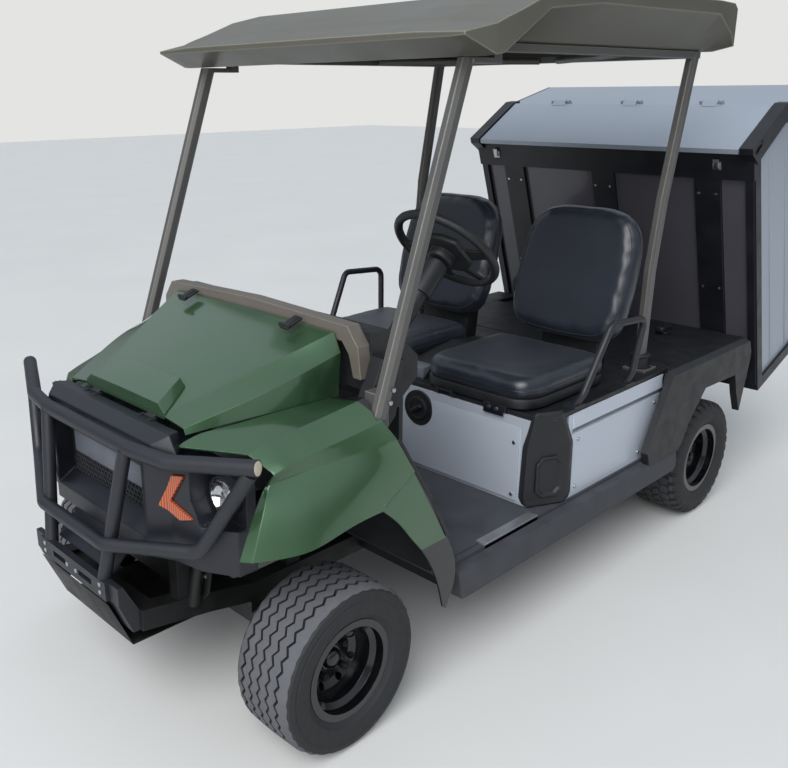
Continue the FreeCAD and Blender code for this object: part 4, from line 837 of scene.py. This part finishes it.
class CART_OT_seats(bpy.types.Operator):
    """Padded vinyl cushions and backs with their piped seams"""

    bl_idname = "cart.seats"
    bl_label = "Seats"

    def execute(self, context):
        size = context.scene.cart_seats
        cushion = self.stuffed(self.cushion_form(), size)
        self.sink_middle(cushion)
        back = self.stuffed(self.back_form(), size)
        shift = Vector((0, -2 * SEAT_Y * MM, 0))
        cushion_seam = self.piping("cushion_seam", cushion, self.cushion_line(), 1.6)
        back_seams = [self.piping("back_seam", back, line, 1.8) for line in self.back_lines()]
        back_seam = joined("back_seam", back_seams)
        for tag, move in (("left", Vector()), ("right", shift)):
            self.pad_in_place("cushion", tag, (cushion, cushion_seam), move, "cushion_" + tag, "cushion_" + tag)
            outline = [at(x, SEAT_Y + y * 0.965, 708) + move for x, y in self.cushion_plan(0.975)]
            tray = plate("cushion_tray_" + tag, outline, Vector((0, 0, 0.033)), 5.0)
            put_on(tray, body="cushion_" + tag)
            self.pad_in_place("back", tag, (back, back_seam), move, "seat_back_" + tag, "chassis")
            outline = [(-1420, 700), (-1496, 700), (-1540, 1046), (-1490, 1052)]
            post = plate("seat_post_" + tag, [at(x, 178, z) + move for x, z in outline], Vector((0, 0.24, 0)), 6.0)
            put_on(post)
        for used in (cushion, back, cushion_seam, back_seam):
            bpy.data.objects.remove(used)
        return {"FINISHED"}

    def pad_in_place(self, kind, tag, models, move, node, body):
        """Padding with its piping, instead of a node of the part."""
        pad = copied(models[0], move, "padded_%s_%s" % (kind, tag))
        put_on(pad, "vinyl", body, 60)
        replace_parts(pad, node)
        put_on(copied(models[1], move, "%s_seam_%s" % (kind, tag)), "vinyl", body)

    def cushion_plan(self, scale=1.0):
        """Outline of the cushion, (x, y) from its middle line in millimetres."""
        half = [(-846, 120), (-849, 160), (-858, 188), (-878, 212), (-908, 228), (-950, 236), (-1010, 237),
                (-1284, 236), (-1312, 226), (-1328, 200), (-1333, 150)]
        return [(-1090 + (x + 1090) * scale, y) for x, y in half + [(x, -y) for x, y in reversed(half)]]

    def cushion_form(self):
        """Pad with round front corners and a full roll along its top edge."""
        form = plate("cushion_form", [at(x, SEAT_Y + y, 742) for x, y in self.cushion_plan()], Vector((0, 0, 0.060)))
        for wanted, width in ((lambda p: p.z > 0.80, 0.030), (lambda p: p.z < 0.743, 0.010)):
            pick(form, wanted)
            bpy.ops.mesh.bevel(offset=width, segments=6, affect="EDGES")
            bpy.ops.object.mode_set(mode="OBJECT")
        return form

    def sink_middle(self, pad):
        """Presses the sitting area down a little inside the roll."""
        middle = at(-1100, SEAT_Y, 0)
        for vertex in pad.data.vertices:
            reach = ((vertex.co.x - middle.x) / 0.175) ** 2 + ((vertex.co.y - middle.y) / 0.165) ** 2
            if vertex.co.z > 0.785 and reach < 1:
                vertex.co.z -= 0.008 * (1 - reach) ** 2 * (3 - 2 * (1 - reach))

    def cushion_line(self):
        return [at(x, SEAT_Y + y, 768) for x, y in self.cushion_plan(1.02)]

    def back_place(self, y, h, depth):
        """Point of the back: h up its front face and depth behind it."""
        cosine, sine = math.cos(BACK_RAKE), math.sin(BACK_RAKE)
        return at(-1345 - depth * cosine - h * sine, SEAT_Y + y, 835 - depth * sine + h * cosine)

    def back_plan(self, inset=0.0):
        """Outline of the back, (y, h) from its middle line in millimetres."""
        half = [(0, -14), (90, -13), (150, -7), (196, 12), (224, 46), (238, 98), (244, 180), (243, 280), (236, 345),
                (221, 394), (196, 434), (160, 461), (104, 477), (50, 481)]
        half = [(y * (1 - inset / 240), 235 + (h - 235) * (1 - inset / 240)) for y, h in half]
        return half + [(0, half[-1][1])] + [(-y, h) for y, h in reversed(half[1:])]

    def back_form(self):
        rearwards = Vector((-math.cos(BACK_RAKE), 0, -math.sin(BACK_RAKE)))
        return plate("back_form", [self.back_place(y, h, 6) for y, h in self.back_plan()],
                     rearwards * 0.076, 25.0, 5)

    def back_lines(self):
        """Seam round the front face and a second one round the rear edge of the bolster."""
        return [[self.back_place(y, h, 2) for y, h in self.back_plan(15)],
                [self.back_place(y, h, 62) for y, h in self.back_plan(-6)]]

    def stuffed(self, form, size):
        """Swells the pad with a short cloth simulation, then smooths it."""
        apply_modifier(form, "REMESH", mode="VOXEL", voxel_size=0.0065, use_smooth_shade=True)
        start = [v.co.copy() for v in form.data.vertices]
        scene = bpy.context.scene
        cloth = form.modifiers.new("stuffing", "CLOTH")
        cloth.settings.use_pressure = True
        cloth.settings.uniform_pressure_force = 4
        cloth.settings.effector_weights.gravity = 0
        cloth.point_cache.frame_start, cloth.point_cache.frame_end = 1, 16
        for step in range(1, 17):
            scene.frame_set(step)
        alone(form)
        bpy.ops.object.modifier_apply(modifier=cloth.name)
        scene.frame_set(1)
        for vertex, rest in zip(form.data.vertices, start):
            move = vertex.co - rest
            if move.length > size.swell:
                vertex.co = rest + move.normalized() * size.swell
        apply_modifier(form, "CORRECTIVE_SMOOTH", iterations=12, use_only_smooth=True)
        return form

    def piping(self, name, pad, line, radius):
        """Raised seam along a smooth line laid on the pad."""
        piece = pipe(name, line, 0.0, True, 4, 0, 5)
        apply_modifier(piece, "SHRINKWRAP", target=pad, wrap_method="NEAREST_SURFACEPOINT", offset=0.0003)
        apply_modifier(piece, "SMOOTH", factor=0.5, iterations=6)
        alone(piece)
        bpy.ops.object.convert(target="CURVE")
        piece.data.bevel_depth = radius * MM
        piece.data.bevel_resolution = 2
        bpy.ops.object.convert(target="MESH")
        return settle(name)


# Profiles of the headlamp: radius and distance forward from the back of its socket
LAMP_BOWL = [(0, 3), (11, 3), (25, 8), (37, 16), (44, 26), (46.5, 26), (46.5, 1), (0, 1)]
BULB_SHIELD = [(0, 21), (10, 19), (12.5, 12), (12.5, 4), (0, 4)]
LAMP_RIM = [(44.5, 21), (45.5, 27.5), (49.8, 27.5), (49.8, 4), (47, 4), (47, 21)]
LAMP_LENS = [(0, 27.8), (18, 27.4), (34, 26), (44.5, 23.5), (44.5, 22), (34, 24.2), (0, 26)]


class CART_OT_nose(bpy.types.Operator):
    """Grille mesh, liner, headlamps, hood catches, guard plugs and seam strips"""

    bl_idname = "cart.nose"
    bl_label = "Nose"

    def execute(self, context):
        self.grille_mesh()
        self.under_nose()
        for tag, side in SIDES:
            self.lamp(tag)
            self.catch(tag, side)
            self.guard_cap(tag, side)
            self.seam_strip(tag, side)
        return {"FINISHED"}

    def grille_mesh(self):
        """Honeycomb in front of the plate, one ring copied along rows."""
        cell = 17.0
        bpy.ops.mesh.primitive_cylinder_add(vertices=6, radius=cell / math.sqrt(3) * MM, depth=0.006,
                                            end_fill_type="NOTHING", rotation=(0, math.pi / 2, 0))
        ring = settle("grille_cell")
        apply_modifier(ring, "SOLIDIFY", thickness=0.0028, offset=-1)
        places = []
        for row in range(-5, 6):
            for column in range(-12, 13):
                y = (column + (0.5 if row % 2 else 0)) * cell
                z = 690 + row * cell * math.sqrt(3) / 2
                if abs(y) < 206 and 660 < z < 716:
                    places.append(at(311, y, z))
        mesh = repeated("grille_honeycomb", ring, places)
        put_on(mesh)
        bare = block("grille_name_bar", at(311, -196, 716), at(317, 196, 778), 2.0)
        put_on(bare, "tray_grey")

    def under_nose(self):
        """Black liner below the nose with the bolts that catch the light."""
        outline = [at(196, y, z) for y, z in ((-300, 566), (300, 566), (262, 400), (214, 352), (-214, 352),
                                              (-262, 400))]
        liner = [plate("liner", outline, Vector((0.006, 0, 0)), 2.0)]
        for side in (1, -1):
            liner.append(pipe("hose", [at(206, side * 60, 558), at(232, side * 96, 500), at(238, side * 170, 452),
                                       at(222, side * 214, 392), at(206, side * 206, 350)], 9.0))
            liner.append(bar("damper", at(236, side * 236, 372), at(214, side * 250, 520), 17.0, 24, 3.0))
        for low, high in ((at(455, 0, 440), at(395, 0, 297)), (at(395, 0, 297), at(110, 0, 293))):
            corners = [low + Vector((0, -0.185, 0)), low + Vector((0, 0.185, 0)), high + Vector((0, 0.185, 0)),
                       high + Vector((0, -0.185, 0))]
            liner.append(plate("skid_plate", corners, Vector((0, 0, 0.003)), 0.8))
        put_on(joined("nose_liner", liner), "frame_enamel_with_painted_shade")
        places = ((120, 520), (196, 508), (150, 432), (252, 452))
        bolts("nose_liner_bolts", [at(200, side * y, z) for y, z in places for side in (1, -1)], (8, 0, 0), 8.0, 6, 1.5)

    def lamp(self, tag):
        """Reflector bowl with its bulb shield, rim and clear lens."""
        low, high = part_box("headlamp_" + tag)
        foot = Vector((low.x, (low.y + high.y) / 2, (low.z + high.z) / 2))
        self.in_socket("reflector_" + tag, LAMP_BOWL, foot, 48, "chrome", "lamp_glass")
        self.in_socket("bulb_shield_" + tag, BULB_SHIELD, foot, 32, "zinc", "lamp_glass")
        self.in_socket("lamp_rim_" + tag, LAMP_RIM, foot, 48, "black_moulding", "black_plastic")
        lens = self.in_socket("lamp_lens_" + tag, LAMP_LENS, foot, 48, "lens", "lamp_glass")
        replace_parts(lens, "headlamp_" + tag)

    def in_socket(self, name, rows, foot, steps, look, slot):
        """Round piece of the headlamp, on the line that looks forward."""
        return put_on(turned(name, rows, foot, (1, 0, 0), steps), look)

    def catch(self, tag, side):
        """Rubber strap catch across the rear edge of the hood."""
        x, y, z = -128, side * 243, 1086
        parts = [block("foot", at(x - 30, y - 17, z - 1), at(x + 30, y + 17, z + 7), 3.0),
                 block("strap", at(x - 26, y - 10, z + 5), at(x + 22, y + 10, z + 12), 4.0),
                 bar("grip", at(x + 22, y - 21, z + 9), at(x + 22, y + 21, z + 9), 6.0, 16, 2.0)]
        piece = joined("hood_catch_" + tag, parts)
        piece.data.transform(turn_about(at(x, y, z), 21))
        put_on(piece, body="hood")

    def guard_cap(self, tag, side):
        """Pale plug in the end of the top tube."""
        end, inside = at(259, side * 572, 884), at(353, side * 348, 857)
        out = (end - inside).normalized()
        cap = turned("guard_plug_" + tag, [(0, 1.5), (12, 1.5), (17, 0.5), (18.5, -3), (0, -3)], end, out, 32)
        put_on(cap, "plug")
        feet = [at(456, side * y, z) for y, z in ((152, 468), (24, 476), (152, 490))]
        bolts("guard_bolts_" + tag, feet, (4, 0, 0), 7.0, 6, 1.0)

    def seam_strip(self, tag, side):
        """Black strip over the joint of the wing with its rear leg."""
        line = [(-163, 604, 842), (-280, 618, 640), (-341, 628, 512)]
        pieces = []
        for (x0, y0, z0), (x1, y1, z1) in zip(line, line[1:]):
            outline = [at(x0, side * (y0 + 1), z0), at(x1, side * (y1 + 1), z1), at(x1 - 10, side * (y1 + 1), z1 + 2),
                       at(x0 - 10, side * (y0 + 1), z0 + 2)]
            pieces.append(plate("strip", outline, Vector((0, side * 0.0035, 0)), 1.0))
        put_on(joined("wing_seam_" + tag, pieces))


class CART_OT_stow(bpy.types.Operator):
    """Bolts, port grip, console tray, catches, hinge plates, corner covers and tread strips of the seat box"""

    bl_idname = "cart.stow"
    bl_label = "Seat box"

    def execute(self, context):
        fold = [at(x, -499, z) for x, z in ((-860.5, 656), (-853.5, 624), (-853.5, 399), (-860.5, 396))]
        band = plate("front_panel_step", fold, Vector((0, 0.998, 0)))
        put_on(band, "seat_sheet_painted_lighter")
        feet = [at(-855, y, z) for y in (-482, 482) for z in (418, 600)]
        bolts("front_panel_bolts", feet, (6, 0, 0), 6.5, 16, 1.5)
        middle = at(FRONT_PANEL_X, PORT_Y, PORT_Z)
        port = [turned("ring", [(30, 9), (34, 15), (38, 15), (41, 9)], middle, (1, 0, 0), 48),
                turned("knob", [(0, 22), (9, 21), (12, 15), (12, 8)], middle, (1, 0, 0), 24)]
        grip = block("turn_bar", at(-852, PORT_Y - 27, PORT_Z - 7), at(-834, PORT_Y + 27, PORT_Z + 7), 4.0, 3)
        grip.data.transform(turn_about(middle, 35, "X"))
        port.append(grip)
        put_on(joined("port_grip", port))
        tray = block("console_tray", at(-985, -47, DECK_Z), at(-903, 47, 743), 5.0)
        put_on(tray, "tray_grey")
        for tag, side in SIDES:
            self.side_fittings(tag, side)
            catch = [block("foot", at(-2104, side * 350 - 26, DECK_Z), at(-2056, side * 350 + 26, 713), 4.0),
                     block("lever", at(-2128, side * 350 - 17, 710), at(-2040, side * 350 + 17, 736), 9.0, 3)]
            put_on(joined("deck_catch_" + tag, catch))
        return {"FINISHED"}

    def side_fittings(self, tag, side):
        feet = [at(x, side * 593, z) for x, z in ((-1052, 588), (-1052, 418), (-1470, 418), (-1560, 588))]
        bolts("side_panel_bolts_" + tag, feet, (0, side * 5, 0), 6.5, 16, 1.5)
        fold = [at(-1012, side * y, z) for y, z in ((593.5, 686), (600.5, 642), (600.5, 637), (593.5, 632))]
        band = plate("side_panel_band_" + tag, fold, at(-1600, 0, 0) - at(-1012, 0, 0))
        put_on(band, "seat_sheet_painted_lighter")
        # dark grey strip under the side band: a painted shadow line
        groove = block("side_panel_painted_shadow_" + tag, at(-1600, side * 594, 621), at(-1012, side * 595.5, 633), 0.5)
        put_on(groove, "tray_grey")
        y = side * (SEAT_Y + 98)
        hinge = block("seat_hinge_plate_" + tag, at(-853, y - 40, 676), at(-849, y + 40, 713), 2.0)
        put_on(hinge, "box_black")
        bolts("seat_hinge_bolts_" + tag, [at(-850, y + dy, 698) for dy in (-15, 15)], (7, 0, 0), 7.0, 16, 2.5)
        self.corner_cover(tag, side)
        strip = block("tread_strip_" + tag, at(-835, side * 566, 373), at(-560, side * 600, 392.5), 1.5)
        put_on(strip, "worn_metal")

    def corner_cover(self, tag, side):
        """Cover with a broad slanting face, and a long eight-sided frame round the plain panel in it."""
        rows = []
        for z, line in ((393, [(-858, 520), (-849, 545), (-972, 603), (-1008, 598)]),
                        (412, [(-858, 506), (-843, 537), (-990, 606), (-1019, 599)]),
                        (592, [(-858, 512), (-843, 540), (-988, 606), (-1014, 599)]),
                        (650, [(-858, 530), (-849, 550), (-962, 603), (-984, 598)]),
                        (708, [(-859, 542), (-853, 556), (-930, 600), (-948, 597)]),
                        (717, [(-868, 548), (-864, 558), (-928, 592), (-948, 590)])):
            rows.append([at(x, side * y, z) for x, y in line])
        creases = [([row[i] for row in rows], 0.9) for i in (1, 2)] + [(rows[i], 0.9) for i in (1, 2, 4)]
        cover = round_edges(pressed("corner_cover_" + tag, [net("corner_net", rows)], creases, 6.0), 1.5, 3, 15)
        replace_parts(put_on(cover, smooth=40), "corner_" + tag)
        along = Vector((-148, side * 68, 0)).normalized()
        out = Vector((68, side * 148, 0)).normalized()
        middle = at(-922, side * 574, 0)

        def eight(half_wide, low, high, cut, proud):
            corners = ((-half_wide, low + cut), (-half_wide + cut, low), (half_wide - cut, low),
                       (half_wide, low + cut), (half_wide, high - cut), (half_wide - cut, high),
                       (-half_wide + cut, high), (-half_wide, high - cut))
            return [middle + Vector((0, 0, z * MM)) + along * w * MM + out * proud * MM for w, z in corners]

        surround = plate("corner_frame_" + tag, eight(50, 418, 560, 24, -2.0), out * 0.010)
        pick(surround, lambda p: (p - middle).dot(out) > 0.004)
        bpy.ops.mesh.select_mode(type="FACE")
        bpy.ops.mesh.inset(thickness=0.008, depth=0.0)
        bpy.ops.mesh.inset(thickness=0.009, depth=-0.009)
        bpy.ops.object.mode_set(mode="OBJECT")
        put_on(round_edges(surround, 1.5, 2, 30))


class CART_OT_cargo_box(bpy.types.Operator):
    """Bolts, latches, lid crease, end handles and side ribs of the cargo box"""

    bl_idname = "cart.cargo_box"
    bl_label = "Cargo box"

    def execute(self, context):
        upright = [self.leaned(bar("bolt", self.own(8, y + dy, v), self.own(12, y + dy, v), 6.0, 16, 1.5))
                   for y in (-455, 0, 455) for v in (90, 480, 900) for dy in (-34, 34)]
        put_on(joined("upright_bolts", upright), "zinc")
        for tag, y in (("left", 500), ("right", -535)):
            self.latch(tag, y)
        for tag, side in SIDES:
            handle = [(30, 1052), (30, 1092), (-40, 1100), (-44, 1064)]
            grip = self.leaned(pipe("grip", [self.own(x - 10, side * 645, v + 4) for x, v in handle], 5.0, True))
            put_on(joined("cap_handle_" + tag, [grip]), "box_black")
            ribs = [self.leaned(block("rib", self.own(-x - 6, side * 627, 60), self.own(-x + 6, side * 631, 1000),
                                      1.5)) for x in (150, 300, 450)]
            put_on(joined("side_ribs_" + tag, ribs), "box_sheet")
        crease = self.leaned(block("lid_crease", self.own(-96, -590, 1085), self.own(-90, 590, 1092.5), 1.5))
        put_on(crease, "box_sheet", "box_lid")
        return {"FINISHED"}

    def own(self, x, y, v):
        """Point in the box's upright frame, before it leans."""
        return Vector((x, y, v)) * MM

    def leaned(self, piece):
        piece.data.transform(BOX_PLACE)
        return piece

    def latch(self, tag, y):
        """Over-centre latch on the top rail."""
        parts = [block("plate", self.own(12, y - 16, 1004), self.own(16, y + 16, 1036), 1.5),
                 block("lever", self.own(15, y - 11, 1012), self.own(23, y + 11, 1050), 3.0),
                 bar("loop", self.own(21, y - 13, 1046), self.own(21, y + 13, 1046), 3.0, 12, 0.8)]
        for part in parts:
            self.leaned(part)
        put_on(joined("lid_latch_" + tag, parts), "zinc")


class CART_OT_canopy(bpy.types.Operator):
    """Collars, bolts and the brace under the roof"""

    bl_idname = "cart.canopy"
    bl_label = "Canopy"

    def execute(self, context):
        for tag, side in SIDES:
            collar = turned("strut_collar_" + tag, [(20, 60), (34, 58), (36, 50), (30, 44), (30, 12), (44, 8),
                                                    (44, 0), (20, 0)], at(-1562, side * 520, DECK_Z), (0, 0, 1), 24)
            put_on(collar)
            bolts("strut_bolts_" + tag, [at(x, side * 569, z) for x, z in ((-172, 930), (-183, 962))],
                  (0, side * 6, 0), 7.0, 6, 1.0)
            arm = pipe("roof_brace_" + tag, [at(-1640, side * 40, 1785), at(-1500, side * 300, 1790),
                                             at(-1260, side * 520, 1790)], 12.0, False, 2)
            put_on(arm, "strut_coat")
        return {"FINISHED"}


class CART_OT_controls(bpy.types.Operator):
    """Steering wheel with a gripped rim and a broad centre"""

    bl_idname = "cart.controls"
    bl_label = "Steering wheel"

    def execute(self, context):
        bpy.ops.mesh.primitive_torus_add(major_radius=0.166, minor_radius=0.0138, major_segments=72,
                                         minor_segments=14)
        rim = settle("rim")
        pad = plate("centre", [Vector(p) * MM for p in ((62, -84, -20), (82, -36, -20), (82, 36, -20), (62, 84, -20),
                                                        (-30, 94, -20), (-84, 48, -20), (-84, -48, -20),
                                                        (-30, -94, -20))], Vector((0, 0, 0.024)), 9.0, 3)
        spokes = []
        for angle, wide in ((90, 42), (-90, 42), (155, 28), (-155, 28)):
            a = math.radians(angle)
            way = Vector((math.cos(a), math.sin(a), 0))
            side = Vector((-way.y, way.x, 0))
            start, end = way * 0.055 + Vector((0, 0, -0.016)), way * 0.158 + Vector((0, 0, -0.003))
            outline = [start - side * wide * MM * 0.7, start + side * wide * MM * 0.7, end + side * wide * MM * 0.4,
                       end - side * wide * MM * 0.4]
            spokes.append(plate("spoke", outline, Vector((0, 0, 0.009)), 3.0))
        hub_tube = bar("boss", Vector((0, 0, -0.150)), Vector((0, 0, -0.012)), 12.0, 24)
        collar = bar("collar", Vector((0, 0, -0.046)), Vector((0, 0, -0.014)), 41.0, 36, 6.0)
        wheel = joined("gripped_steering_wheel", [rim, pad, hub_tube, collar] + spokes)
        wheel.data.transform(placed(at(-715, 290, 1220), -COLUMN_TILT))
        put_on(wheel, body="steering_wheel", smooth=50)
        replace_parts(wheel, "steering_wheel")
        return {"FINISHED"}


class VIEW3D_PT_cart(bpy.types.Panel):
    """Pieces of the cart, in the order in which they are made"""

    bl_label = "Cart"
    bl_idname = "VIEW3D_PT_cart"
    bl_space_type = "VIEW_3D"
    bl_region_type = "UI"
    bl_category = "Cart"

    def draw(self, context):
        for name, _ in GROUPS:
            box = self.layout.box()
            settings = getattr(context.scene, name)
            for key in settings.__annotations__:
                box.prop(settings, key)
        for operator in OPERATORS:
            self.layout.operator(operator.bl_idname)


GROUPS = (("cart_finishes", CART_PG_finishes), ("cart_stage", CART_PG_stage), ("cart_tyres", CART_PG_tyres),
          ("cart_seats", CART_PG_seats))
OPERATORS = (CART_OT_stage, CART_OT_node_finishes, CART_OT_painted_panels, CART_OT_tyres, CART_OT_wheels,
             CART_OT_seats, CART_OT_nose, CART_OT_stow, CART_OT_cargo_box, CART_OT_canopy, CART_OT_controls)


def register():
    for name, group in GROUPS:
        bpy.utils.register_class(group)
        setattr(bpy.types.Scene, name, bpy.props.PointerProperty(type=group))
    for operator in OPERATORS:
        bpy.utils.register_class(operator)
    bpy.utils.register_class(VIEW3D_PT_cart)


def unregister():
    bpy.utils.unregister_class(VIEW3D_PT_cart)
    for operator in reversed(OPERATORS):
        bpy.utils.unregister_class(operator)
    for name, group in reversed(GROUPS):
        delattr(bpy.types.Scene, name)
        bpy.utils.unregister_class(group)


def main():
    register()
    for operator in OPERATORS:
        group, _, name = operator.bl_idname.partition(".")
        getattr(getattr(bpy.ops, group), name)()


if __name__ == "__main__":
    main()
